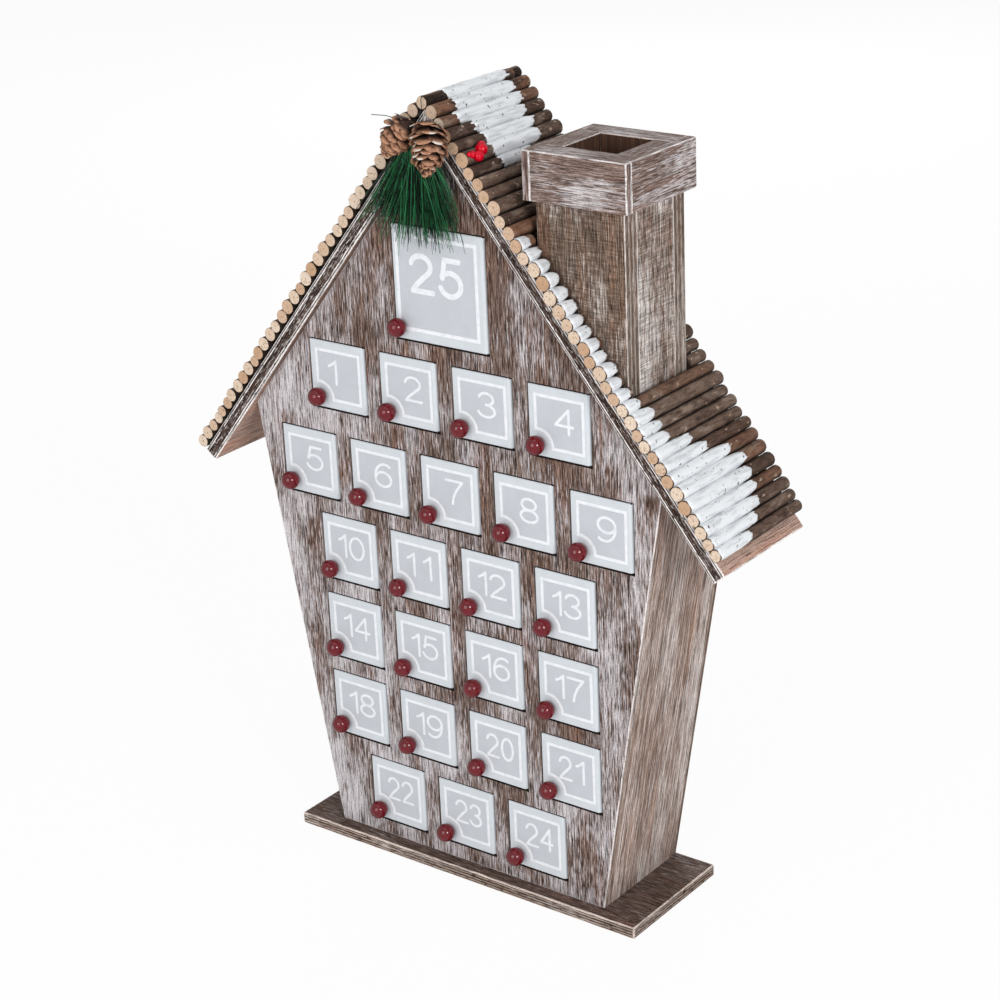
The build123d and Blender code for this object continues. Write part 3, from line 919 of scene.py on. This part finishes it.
shaft_spans = (
    (-CHIMNEY_HALF, CHIMNEY_HALF, -CHIMNEY_HALF, -inner_half),
    (-CHIMNEY_HALF, CHIMNEY_HALF, inner_half, CHIMNEY_HALF),
)
cheek_spans = (
    (-CHIMNEY_HALF, -inner_half, -inner_half, inner_half),
    (inner_half, CHIMNEY_HALF, -inner_half, inner_half),
)
for name, browns, spans in (("shaft", shaft_brown, shaft_spans), ("cheeks", cheek_brown, cheek_spans)):
    shaft_mesh = bmesh.new()
    for x_low, x_high, y_low, y_high in spans:
        left, right = CHIMNEY_X + x_low, CHIMNEY_X + x_high
        outline = [(left, roof_top_z(left)), (right, roof_top_z(right))]
        outline += [(right, CHIMNEY_TOP), (left, CHIMNEY_TOP)]
        prism(shaft_mesh, outline, CHIMNEY_Y + y_low, CHIMNEY_Y + y_high)
    wear(shaft_mesh, SHAFT_WEAR, upright_axes, inside_cap)
    for face in shaft_mesh.faces:
        away = face.calc_center_median() - Vector((CHIMNEY_X, CHIMNEY_Y, 0)) * MM
        if face.normal.z > UP_SHARE:
            face.material_index = CAP
        elif max(abs(away.x), abs(away.y)) < inner_half * MM + 2 * NEAR and face.material_index != WORN:
            face.material_index = FLUE
    shaft = new_piece(f"chimney_{name}", shaft_mesh, [*browns, flue_wood, trim_brown[FACE]])
    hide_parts("chimney")
trim_mesh = bmesh.new()
trim_foot, trim_out = CHIMNEY_TOP - TRIM_HEIGHT, CHIMNEY_HALF + TRIM_T
trim_outline = [(-CHIMNEY_HALF, trim_foot), (trim_out, trim_foot)]
trim_outline += [(trim_out, CHIMNEY_TOP), (-CHIMNEY_HALF, CHIMNEY_TOP)]
chimney_place = Matrix.Translation(Vector((CHIMNEY_X, CHIMNEY_Y, 0)) * MM)
for quarter in range(4):
    corners = prism(trim_mesh, trim_outline, -trim_out, -CHIMNEY_HALF)
    turned = chimney_place @ Matrix.Rotation(quarter * math.pi / 2, 4, "Z")
    bmesh.ops.transform(trim_mesh, matrix=turned, verts=corners)
trim = new_piece("chimney_trim", wear(trim_mesh, TRIM_WEAR, spared=trim_sharp), trim_brown)
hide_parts("chimney")


# Doors: small flush leaves painted light grey, rounded at the hinge, with plain white numbers.
# Their edges are near-black painted shade, standing for the dark gaps round the leaves.
# Each leaf is lofted round its hinge pin, its paint lines are thin ribbons, and its knob is a turned bead.
GABLE_DOOR = 25
# Insets of the white border from the left, right, top and bottom of a leaf, in millimetres
SMALL_BORDER, GABLE_BORDER = (4.5, 4.4, 5.4, 5.4), (2.9, 6.0, 5.6, 6.3)
SMALL_LINE, GABLE_LINE = 1.7, 2.0
# The round part that a small border leaves out at the knob
NOTCH, NOTCH_RADIUS = 5.6, 9.55


def leaf_paint(name, border, notched):
    """Light grey paint, a little darker inside the border."""
    material, tree, shader = new_material(name, Specular_IOR_Level=0.4)
    near, far = (add(tree, "ShaderNodeUVMap", uv_map=label).outputs[0] for label in ("from_low", "from_high"))
    low, high = split(near), split(far)
    inside = 1.0
    for edge, inset in zip((low[0], high[0], high[1], low[1]), border):
        inside = maths("MINIMUM", inside, maths("SUBTRACT", edge, inset * MM))
    if notched:
        from_knob = vector_maths("DISTANCE", near, (NOTCH * MM, NOTCH * MM, 0.0))
        inside = maths("MINIMUM", inside, maths("SUBTRACT", from_knob, NOTCH_RADIUS * MM))
    mottle = noise(object_place(tree), (160.0, 160.0, 160.0), 3.0)
    colour = mix(ramp(inside, -NEAR, NEAR), seen(203, 208, 213), seen(191, 195, 201))
    shade = ramp(mottle, *EVEN, 0.975, 1.015)
    feed(shader, Base_Color=mix(1.0, colour, shade, "MULTIPLY"))
    feed(shader, Roughness=ramp(mottle, *EVEN, 0.42, 0.55))
    rough_up(shader, mottle, 0.1 * MM)
    return material


small_grey = leaf_paint("grey_paint", SMALL_BORDER, True)
gable_grey = leaf_paint("gable_grey_paint", GABLE_BORDER, False)
# Near-black painted shade on the leaves' edges, so that the gaps round the leaves read dark
leaf_edge_painted_shade = mottled_material(
    "leaf_edge_painted_shade", (600.0, 600.0, 60.0), 2.0, (seen(30, 23, 20), seen(54, 43, 37)), (0.35, 0.65),
    Roughness=0.85, Specular_IOR_Level=0.15,
)
white_paint = mottled_material(
    "white_paint", (300.0, 300.0, 300.0), 2.0, (seen(222, 225, 230), seen(232, 234, 238)), (0.3, 0.6),
    shine=(0.4, 0.5), Specular_IOR_Level=0.4,
)
red_paint = mottled_material(
    "red_paint", (420.0, 420.0, 420.0), 3.0, (seen(90, 0, 11), seen(104, 1, 18)), shine=(0.28, 0.4),
    Coat_Weight=0.8, Coat_Roughness=0.08, Specular_IOR_Level=0.0,
)


def arc(x, z, across, up, start, stop, steps=16):
    """Points on an arc of an ellipse, with angles in degrees."""
    turns = [math.radians(start + (stop - start) * i / steps) for i in range(steps + 1)]
    return [(x + across * math.cos(turn), z + up * math.sin(turn)) for turn in turns]


# Strokes of each figure, in shares of its width and height
FIGURES = {
    "0": [arc(0.5, 0.5, 0.5, 0.5, 90, 450)],
    "1": [[(0.0, 0.75), (0.5, 0.85), (0.94, 1.0)], [(0.94, 1.0), (0.94, 0.0)]],
    "2": [
        arc(0.48, 0.72, 0.46, 0.28, 170, -35) + [(0.62, 0.42), (0.25, 0.18), (0.04, 0.0)],
        [(0.04, 0.0), (1.0, 0.0)],
    ],
    "3": [arc(0.46, 0.755, 0.42, 0.245, 165, -90), arc(0.46, 0.255, 0.50, 0.255, 90, -165)],
    "4": [[(0.76, 0.0), (0.76, 1.0)], [(0.76, 1.0), (0.0, 0.32)], [(0.0, 0.32), (1.0, 0.32)]],
    "5": [[(0.92, 1.0), (0.22, 1.0), (0.08, 0.49)], arc(0.46, 0.33, 0.52, 0.33, 140, -160)],
    "6": [arc(0.5, 0.32, 0.5, 0.32, 180, 540), arc(0.62, 0.42, 0.62, 0.58, 180, 58)],
    "7": [[(0.0, 1.0), (1.0, 1.0)], [(1.0, 1.0), (0.64, 0.62), (0.44, 0.30), (0.36, 0.0)]],
    "8": [arc(0.5, 0.755, 0.42, 0.245, 270, 630), arc(0.5, 0.26, 0.5, 0.26, 90, 450)],
    "9": [arc(0.5, 0.68, 0.5, 0.32, 0, 360), arc(0.38, 0.58, 0.62, 0.58, 0, -122)],
}
# Distance of the figures from a leaf's top, their height and the width of their strokes, in millimetres
SMALL_FIGURES, GABLE_FIGURES = (10.0, 14.8, 1.5), (14.1, 22.5, 3.0)


def figure_spans(number):
    """Left and right of each figure of a number, in millimetres from its leaf's left edge."""
    figures = str(number)
    if number == GABLE_DOOR:
        return [(10.7, 27.9), (30.7, 47.2)]
    if len(figures) == 1:
        return [(12.4, 19.2) if number == 1 else (16.4, 29.0)]
    after_one = figures[0] == "1"
    first = (11.0, 17.4) if after_one else (11.2, 20.5)
    if figures[1] == "1":
        return [first, (22.6, 29.0)]
    return [first, (18.7, 30.3) if after_one else (21.5, 30.6)]


# Height of the paint off a leaf, the step from line to line, and its underside, in millimetres
PAINT_T, PAINT_STEP, PAINT_SINK = 0.10, 0.015, -0.05
END_TURNS, CLOSED_GAP, TINY, NARROWEST = (35, 60, 80), 0.01, 1e-6, 0.5


def ribbon(bm, points, width, lift, low):
    """A painted line along points on a leaf, in millimetres from its corner low, rounded at open ends."""
    points = [Vector(point) for point in points]
    closed = (points[0] - points[-1]).length < CLOSED_GAP
    points = points[:-1] if closed else points
    half = [width / 2] * len(points)
    if not closed:
        for at_start in (True, False):
            end, other = (points[0], points[1]) if at_start else (points[-1], points[-2])
            ahead = (end - other).normalized()
            for turn in END_TURNS:
                reach = width / 2 * math.sin(math.radians(turn))
                points.insert(0 if at_start else len(points), end + ahead * reach)
                half.insert(0 if at_start else len(half), width / 2 * math.cos(math.radians(turn)))
    count, rings = len(points), []
    for i, point in enumerate(points):
        before = points[i - 1] if closed or i else point
        after = points[(i + 1) % count] if closed or i < count - 1 else point
        ways = [way.normalized() for way in (point - before, after - point) if way.length > TINY]
        along = (ways[0] + ways[-1]).normalized()
        aside = Vector((-along.y, along.x)) * (half[i] / max(along.dot(ways[0]), NARROWEST))
        ring = []
        for side, rise in ((1, lift), (-1, lift), (-1, PAINT_SINK), (1, PAINT_SINK)):
            spot = point + aside * side
            ring.append(bm.verts.new((low.x + spot.x * MM, low.y - rise * MM, low.z + spot.y * MM)))
        rings.append(ring)
    close_rings(bm, rings + rings[:1] if closed else rings, ends=not closed)


SIDE_EASE, END_EASE = 0.6 * MM, 0.4 * MM


def leaf_ring(low, high, inset):
    """X and Y of a leaf's section, round at the hinge edge and eased at the other, in metres."""
    middle, radius = (low.y + high.y) / 2, (high.y - low.y) / 2
    ring = arc(high.x - radius, middle, radius - inset, radius - inset, -90, 90, 12)
    ring.append((low.x + inset, high.y - inset))
    corner = SIDE_EASE - inset
    return ring + arc(low.x + SIDE_EASE, low.y + SIDE_EASE, corner, corner, 180, 268, 4)


def leaf_mesh(low, high):
    """A leaf lofted upwards, with eased top and bottom edges. UV maps hold the front's distances from its
    edges."""
    bm = bmesh.new()
    levels = ((low.z, END_EASE), (low.z + END_EASE, 0.0), (high.z - END_EASE, 0.0), (high.z, END_EASE))
    rings = [[bm.verts.new((x, y, z)) for x, y in leaf_ring(low, high, inset)] for z, inset in levels]
    close_rings(bm, rings)
    bmesh.ops.recalc_face_normals(bm, faces=bm.faces)
    near, far = bm.loops.layers.uv.new("from_low"), bm.loops.layers.uv.new("from_high")
    for face in bm.faces:
        # Edge faces take the painted shade of the gaps; the front and back take the grey paint
        face.material_index = EDGE if abs(face.normal.y) < ACROSS_SHARE else FACE
        for loop in face.loops:
            place = loop.vert.co
            if face.normal.y < 0:
                loop[near].uv = (place.x - low.x, place.z - low.z)
                loop[far].uv = (high.x - place.x, high.z - place.z)
    return bm


def paint_mesh(number, low, high):
    """A leaf's white border and number. Small borders curve round the knob; each line lies over the last."""
    bm = bmesh.new()
    width, height = (high.x - low.x) / MM, (high.z - low.z) / MM
    is_gable = number == GABLE_DOOR
    left, right, top, bottom = GABLE_BORDER if is_gable else SMALL_BORDER
    corner = [(left, bottom)] if is_gable else arc(NOTCH, NOTCH, NOTCH_RADIUS, NOTCH_RADIUS, -1, 96.5, 12)
    border = [(left, height - top), (width - right, height - top), (width - right, bottom), *corner]
    lift = PAINT_T
    ribbon(bm, border + border[:1], GABLE_LINE if is_gable else SMALL_LINE, lift, low)
    from_top, tall, stroke = GABLE_FIGURES if is_gable else SMALL_FIGURES
    for figure, (start, stop) in zip(str(number), figure_spans(number)):
        for line in FIGURES[figure]:
            lift += PAINT_STEP
            across, up = stop - start - stroke, tall - stroke
            low_x, low_z = start + stroke / 2, height - from_top - tall + stroke / 2
            ribbon(bm, [(low_x + x * across, low_z + z * up) for x, z in line], stroke, lift, low)
    bmesh.ops.recalc_face_normals(bm, faces=bm.faces)
    return bm


BEAD_RINGS, BEAD_SIDES, BEAD_SINK = 16, 32, 0.2 * MM


def knob_mesh(middle, radius, back):
    """A bead turned about a line along Y, with a flat where it meets the leaf at back."""
    bm = bmesh.new()
    last = math.acos((middle.y - back) / radius)
    rings = []
    for i in range(1, BEAD_RINGS + 1):
        turn = last * i / BEAD_RINGS
        r, y = radius * math.sin(turn), middle.y - radius * math.cos(turn)
        circle = arc(0, 0, r, r, 0, 360, BEAD_SIDES)[:-1]
        rings.append([bm.verts.new((middle.x + x, y, middle.z + z)) for x, z in circle])
    front = bm.verts.new((middle.x, middle.y - radius, middle.z))
    for j in range(BEAD_SIDES):
        bm.faces.new((front, rings[0][j - 1], rings[0][j]))
        for first, second in zip(rings, rings[1:]):
            bm.faces.new((first[j - 1], second[j - 1], second[j], first[j]))
    bm.faces.new(rings[-1])
    bmesh.ops.recalc_face_normals(bm, faces=bm.faces)
    return bm


for number in range(1, GABLE_DOOR + 1):
    body = f"door_{number:02d}"
    low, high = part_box(body)
    greys = [gable_grey if number == GABLE_DOOR else small_grey, leaf_edge_painted_shade]
    leaf = new_piece(f"leaf_{number:02d}", leaf_mesh(low, high), greys, body)
    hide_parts(body)
    new_piece(f"number_{number:02d}", paint_mesh(number, low, high), [white_paint], body)
    bead_low, bead_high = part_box(f"knob_{number:02d}")
    bead_radius = (bead_high.x - bead_low.x) / 2
    bead_x, bead_z = (bead_low.x + bead_high.x) / 2, (bead_low.z + bead_high.z) / 2
    bead_middle = Vector((bead_x, bead_low.y + bead_radius, bead_z))
    bead = knob_mesh(bead_middle, bead_radius, low.y + BEAD_SINK)
    knob = new_piece(f"bead_{number:02d}", bead, [red_paint], body, smooth=True)
    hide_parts(f"knob_{number:02d}")


# Pine trim: two cones, a fan of green needles that hangs over the top door, and red berries on the slope.
# Geometry Nodes set the cones' scales on a spiral; the needles are fine sticks wired behind the cones.
SCALE_TURN, CORE_SHARE, FILLED_SHARE = 2.39996, 0.22, 0.86
SCALE_TILTS, SCALE_SIZES, SCALE_CHANCES = (0.25, 1.35), (0.42, 0.20), (0.8, 1.15)


def random_value(tree, low, high, seed):
    """A random number for each scale, between two."""
    ends = {2: low, 3: high, "Seed": seed}
    return add(tree, "FunctionNodeRandomValue", ends, data_type="FLOAT").outputs[1]


def cone_tree():
    """Nodes that set scales on a spiral up a cone's axis, small at the tip."""
    inputs = {"Geometry": "Geometry", "Count": "Int", "Length": "Float", "Width": "Float", "Jitter": "Float"}
    inputs["Finish"] = "Material"
    tree, given, result = new_group("cone", inputs, {"Geometry": "Geometry"}, "GeometryNodeTree")
    index = tree.nodes.new("GeometryNodeInputIndex").outputs[0]
    share = maths("DIVIDE", index, given["Count"])
    spin = maths("MULTIPLY", index, SCALE_TURN)
    swell = maths("SINE", ramp(share, 0.0, 1.0, 0.55, 2.7))
    reach = maths("MULTIPLY", maths("MULTIPLY", swell, given["Width"]), CORE_SHARE)
    height = maths("MULTIPLY", share, maths("MULTIPLY", given["Length"], FILLED_SHARE))
    x = maths("MULTIPLY", maths("SINE", spin), maths("MULTIPLY", reach, -1.0))
    y = maths("MULTIPLY", maths("COSINE", spin), reach)
    spot = add(tree, "ShaderNodeCombineXYZ", {0: x, 1: y, 2: height}).outputs[0]
    points = add(tree, "GeometryNodePoints", {"Count": given["Count"], "Position": spot}).outputs[0]
    tilt_ends = {"Value": share, "To Min": SCALE_TILTS[0], "To Max": SCALE_TILTS[1]}
    tilt = add(tree, "ShaderNodeMapRange", tilt_ends).outputs[0]
    tilt = maths("MULTIPLY_ADD", random_value(tree, -1.0, 1.0, 4), given["Jitter"], tilt)
    euler = add(tree, "ShaderNodeCombineXYZ", {0: tilt, 2: spin}).outputs[0]
    turned = add(tree, "FunctionNodeEulerToRotation", {0: euler}).outputs[0]
    size = maths("MULTIPLY", ramp(share, 0.40, 1.0, *SCALE_SIZES), given["Width"])
    size = maths("MULTIPLY", size, random_value(tree, *SCALE_CHANCES, 9))
    form = {"Points": points, "Instance": given["Geometry"], "Rotation": turned, "Scale": size}
    scales = add(tree, "GeometryNodeInstanceOnPoints", form).outputs[0]
    finish_tree(tree, scales, result, (given["Finish"], True))
    return tree


# Rows of a scale from its root to its lip: place along it, half width, half thickness and rise
SCALE_ROWS = (
    (-0.30, 0.18, 0.05, 0.0), (0.20, 0.38, 0.04, -0.03), (0.60, 0.60, 0.035, 0.0), (0.86, 0.55, 0.035, 0.06),
    (1.0, 0.30, 0.025, 0.12),
)
LIP_START, LIP_ROUND = 0.6, 0.25


def scale_mesh():
    """One woody scale, a unit long along Y: a narrow root, then a thin broad shingle with a curled lip."""
    mesh = bpy.data.meshes.new("cone_scale")
    spots, tips, faces = [], [], []
    for y, half, thick, rise in SCALE_ROWS:
        section = ((-1.0, 0.0), (-0.5, thick), (0.5, thick), (1.0, 0.0), (0.5, -thick), (-0.5, -thick))
        spots += [(x * half, y - abs(x * half) * LIP_ROUND * (y > LIP_START), z + rise) for x, z in section]
        tips += [max(y, 0.0)] * len(section)
    sides = len(section)
    last = len(spots) - sides
    for low in range(0, last, sides):
        for j in range(sides):
            k = (j + 1) % sides
            faces.append((low + j, low + k, low + sides + k, low + sides + j))
    faces += [list(range(sides))[::-1], list(range(last, last + sides))]
    mesh.from_pydata(spots, [], faces)
    mesh.attributes.new("tip", "FLOAT", "POINT").data.foreach_set("value", tips)
    return mesh


def cone_material():
    """Dry brown wood, pale at a scale's lip and near black towards its root, partly the wood's darker base
    and partly painted shade where the scales overlap, with specks and a little frost.
    """
    material, tree, shader = new_material("cone_scale", Roughness=0.75, Specular_IOR_Level=0.3)
    place, tip = object_place(tree), attribute(tree, "tip")
    speck = noise(place, (520.0, 520.0, 520.0), 4.0, 0.7)
    patch = ramp(noise(place, (95.0, 95.0, 95.0), 1.0), 0.58, 0.64)
    frost = maths("MULTIPLY", ramp(tip, 0.84, 0.98), patch)
    # The near-black root is partly darker wood and partly painted shade under the overlapping scales
    colour = layered(
        mix(ramp(tip, 0.40, 1.0), seen(34, 21, 15), seen(186, 138, 108)),
        (ramp(speck, 0.46, 0.64, 0.0, 0.6), seen(92, 56, 42)),
        (frost, seen(222, 216, 208)),
    )
    feed(shader, Base_Color=colour)
    rough_up(shader, speck, 0.8 * MM)
    return material


cone_wood, cone_growth = cone_material(), cone_tree()
cone_forms = (
    ("left", 58, 22.0 * MM, 17.0 * MM, 0.36, Vector((-3.5, -46.5, 443.5)), Vector((-0.50, -0.30, -0.80))),
    ("right", 64, 29.0 * MM, 19.0 * MM, 0.25, Vector((10.5, -46.5, 444.0)), Vector((0.22, -0.42, -0.88))),
)
for name, count, length, width, jitter, root, way in cone_forms:
    form = {"Count": count, "Length": length, "Width": width, "Jitter": jitter, "Finish": cone_wood}
    turned = way.to_track_quat("Z", "Y").to_matrix().to_4x4()
    place = Matrix.Translation(root * MM) @ turned
    cone = grown(f"cone_{name}", scale_mesh(), cone_growth, form, place)
    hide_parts("pine_trim")


def needle_material():
    """Green needles, each in its own tone."""
    material, tree, shader = new_material("needle_green", Specular_IOR_Level=0.22)
    mottle = noise(object_place(tree), (60.0, 60.0, 60.0), 2.0)
    colour = mix(ramp(own_value(tree, 0.377), 0.3, 1.0), seen(2, 24, 12), seen(40, 120, 72))
    shade = ramp(mottle, *EVEN, 0.8, 1.15)
    feed(shader, Base_Color=mix(1.0, colour, shade, "MULTIPLY"))
    feed(shader, Roughness=ramp(mottle, *EVEN, 0.22, 0.36))
    return material


NEEDLE_ROOT = Vector((-1.0, -43.0, 431.0))
TUFT, NEEDLE_STEPS, NEEDLE_DROOP, GABLE_CLEAR = 7, 6, 0.75, -34.0
TUFT_LENGTHS, NEEDLE_SHARES, NEEDLE_STRAY = (36, 57), (0.78, 1.06), 4
NEEDLE_SPREAD, NEEDLE_RADIUS, NEEDLE_TAPER, WIRE_RADIUS = (6.0, 3.0, 3.5), 0.29, 0.17, 0.22
# Needles in each half of the fan, its shift to the left, its least, greatest and likeliest angle, its lean
needle_fans = (
    (380, 2.0, (-46, 4, -27), (-0.06, 0.04)),
    (420, 0.0, (-26, 40, 10), (0.02, 0.18)),
)
needle_chance = random.Random(23)
needle_paths = []
needle_plan = [half for count, *half in needle_fans for _ in range(count)]
for i, (shift, fan_range, lean_range) in enumerate(needle_plan):
    if i % TUFT == 0:
        tuft_fan, tuft_length = needle_chance.triangular(*fan_range), needle_chance.uniform(*TUFT_LENGTHS)
    fan = math.radians(tuft_fan + needle_chance.gauss(0, NEEDLE_STRAY))
    length = tuft_length * needle_chance.uniform(*NEEDLE_SHARES)
    lean = needle_chance.uniform(*lean_range)
    spread = [needle_chance.uniform(-reach, reach) for reach in NEEDLE_SPREAD]
    spot = NEEDLE_ROOT + Vector(spread) - Vector((shift, shift / 2, 0))
    path = []
    for j in range(NEEDLE_STEPS + 1):
        share = j / NEEDLE_STEPS
        path.append((spot * MM, (NEEDLE_RADIUS - NEEDLE_TAPER * share) * MM, False))
        turn = fan * (1 - NEEDLE_DROOP * share) if fan > 0 else fan
        spot = spot + Vector((math.sin(turn), lean, -math.cos(turn))) * length / NEEDLE_STEPS
        spot.y = min(spot.y, GABLE_CLEAR)
    needle_paths.append(path)
needle_green = needle_material()
needle_form = {"Sides": 4, "Lump": 0.0, "Lump Scale": 1.0, "Bark": needle_green, "End": needle_green}
needles = grown("needles", path_mesh("needle_paths", needle_paths), sticks, needle_form)
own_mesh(needles)
wire_routes = (
    ((1.2, -39.6, 455.6), (1.5, -41.2, 453.6), (1.7, -41.4, 448.6), (0.4, -42.0, 445.6), (2.0, -44.0, 442.5)),
    ((-12.0, -45.0, 443.4), (-19.5, -45.0, 444.2), (-29.0, -44.6, 443.6)),
)
wire_paths = [[(Vector(spot) * MM, WIRE_RADIUS * MM, False) for spot in route] for route in wire_routes]
grown("binding_wires", path_mesh("wire_paths", wire_paths), sticks, needle_form)
berry_red = mottled_material(
    "berry_red", (350.0, 350.0, 350.0), 2.0, (seen(178, 0, 26), seen(212, 4, 38)), shine=(0.25, 0.4),
    Coat_Weight=0.4, Coat_Roughness=0.05, Specular_IOR_Level=0.0,
)
# Middle and radius of each lobe of the berries, in millimetres
berry_lobes = (
    (29.0, -28.3, 428.5, 3.3), (30.3, -32.7, 426.0, 2.8), (28.6, -35.4, 427.2, 2.0),
    (27.0, -25.6, 429.6, 2.4), (28.0, -37.4, 427.6, 1.3),
)
berry_mesh = bmesh.new()
for x, y, z, radius in berry_lobes:
    spot = Matrix.Translation(Vector((x, y, z)) * MM)
    bmesh.ops.create_uvsphere(berry_mesh, u_segments=20, v_segments=12, radius=radius * MM, matrix=spot)
new_piece("berries", berry_mesh, [berry_red], smooth=True)


# Studio: a plain pale floor, the photo's camera, and soft boxes at both sides of it, above and behind.
# The floor and the world look white to the camera, and the floor keeps a faint shadow.
FLOOR_HALF, FLOOR_WHITE, AMBIENT, AIM_HEIGHT = 40.0, 0.94, 0.37, 0.22
WHITE = (1, 1, 1, 1)


def background_rays(tree):
    """A mask of the rays that see the plain background: those of the camera, of gloss and of glass."""
    rays = add(tree, "ShaderNodeLightPath").outputs
    bounced = maths("MAXIMUM", rays["Is Glossy Ray"], rays["Is Transmission Ray"])
    return maths("MAXIMUM", rays["Is Camera Ray"], bounced)


floor_mesh = bmesh.new()
bmesh.ops.create_grid(floor_mesh, x_segments=1, y_segments=1, size=FLOOR_HALF)
floor_data = bpy.data.meshes.new("floor")
floor_mesh.to_mesh(floor_data)
floor_mesh.free()
floor = placed("floor", floor_data)
floor_paint, floor_tree, floor_shader = new_material(
    "floor_paint", Base_Color=seen(250, 250, 250), Roughness=0.9
)
floor_white = add(floor_tree, "ShaderNodeEmission", {"Color": WHITE, "Strength": 1.0}).outputs[0]
floor_look = maths("MULTIPLY", background_rays(floor_tree), FLOOR_WHITE)
floor_parts = {0: floor_look, 1: floor_shader.outputs[0], 2: floor_white}
floor_mix = add(floor_tree, "ShaderNodeMixShader", floor_parts).outputs[0]
feed(floor_tree.nodes["Material Output"], Surface=floor_mix)
floor_data.materials.append(floor_paint)
world = bpy.data.worlds.new("studio")
bpy.context.scene.world = world
world.use_nodes = True
world_tree = world.node_tree
sky = world_tree.nodes["Background"]
sky.inputs["Color"].default_value = WHITE
feed(sky, Strength=ramp(background_rays(world_tree), 0.0, 1.0, AMBIENT, 1.0))
soft_boxes = (
    ("key", (0.15, -2.15, 1.0), 1.3, 19.5),
    ("fill", (1.97, -0.96, 1.05), 0.65, 25.0),
    ("top", (0.2, -0.2, 2.2), 1.4, 4.5),
    ("rear", (-1.2, 2.0, 0.9), 0.9, 12.0),
)
for name, place, size, power in soft_boxes:
    lamp = bpy.data.lights.new(name, "AREA")
    lamp.shape, lamp.size, lamp.energy = "SQUARE", size, power
    box = placed(name, lamp)
    box.location = place
    box.rotation_mode = "QUATERNION"
    box.rotation_quaternion = (Vector((0, 0, AIM_HEIGHT)) - Vector(place)).to_track_quat("-Z", "Y")
CAMERA_PLACE, LENS, SENSOR = (0.77820, -0.98849, 0.72436), 88.0, 36.0
TURN, RISE, ROLL = (math.radians(angle) for angle in (37.897, 21.836, -2.553))
behind = Vector((math.sin(TURN) * math.cos(RISE), -math.cos(TURN) * math.cos(RISE), math.sin(RISE)))
level = Vector((math.cos(TURN), math.sin(TURN), 0))
upward = behind.cross(level)
right = math.cos(ROLL) * level + math.sin(ROLL) * upward
top = math.cos(ROLL) * upward - math.sin(ROLL) * level
camera = placed("camera", bpy.data.cameras.new("camera"))
camera.data.lens, camera.data.sensor_width = LENS, SENSOR
facing = Matrix((right, top, behind)).transposed().to_4x4()
camera.matrix_world = Matrix.Translation(CAMERA_PLACE) @ facing
bpy.context.scene.camera = camera
bpy.context.scene.view_settings.view_transform = "Standard"
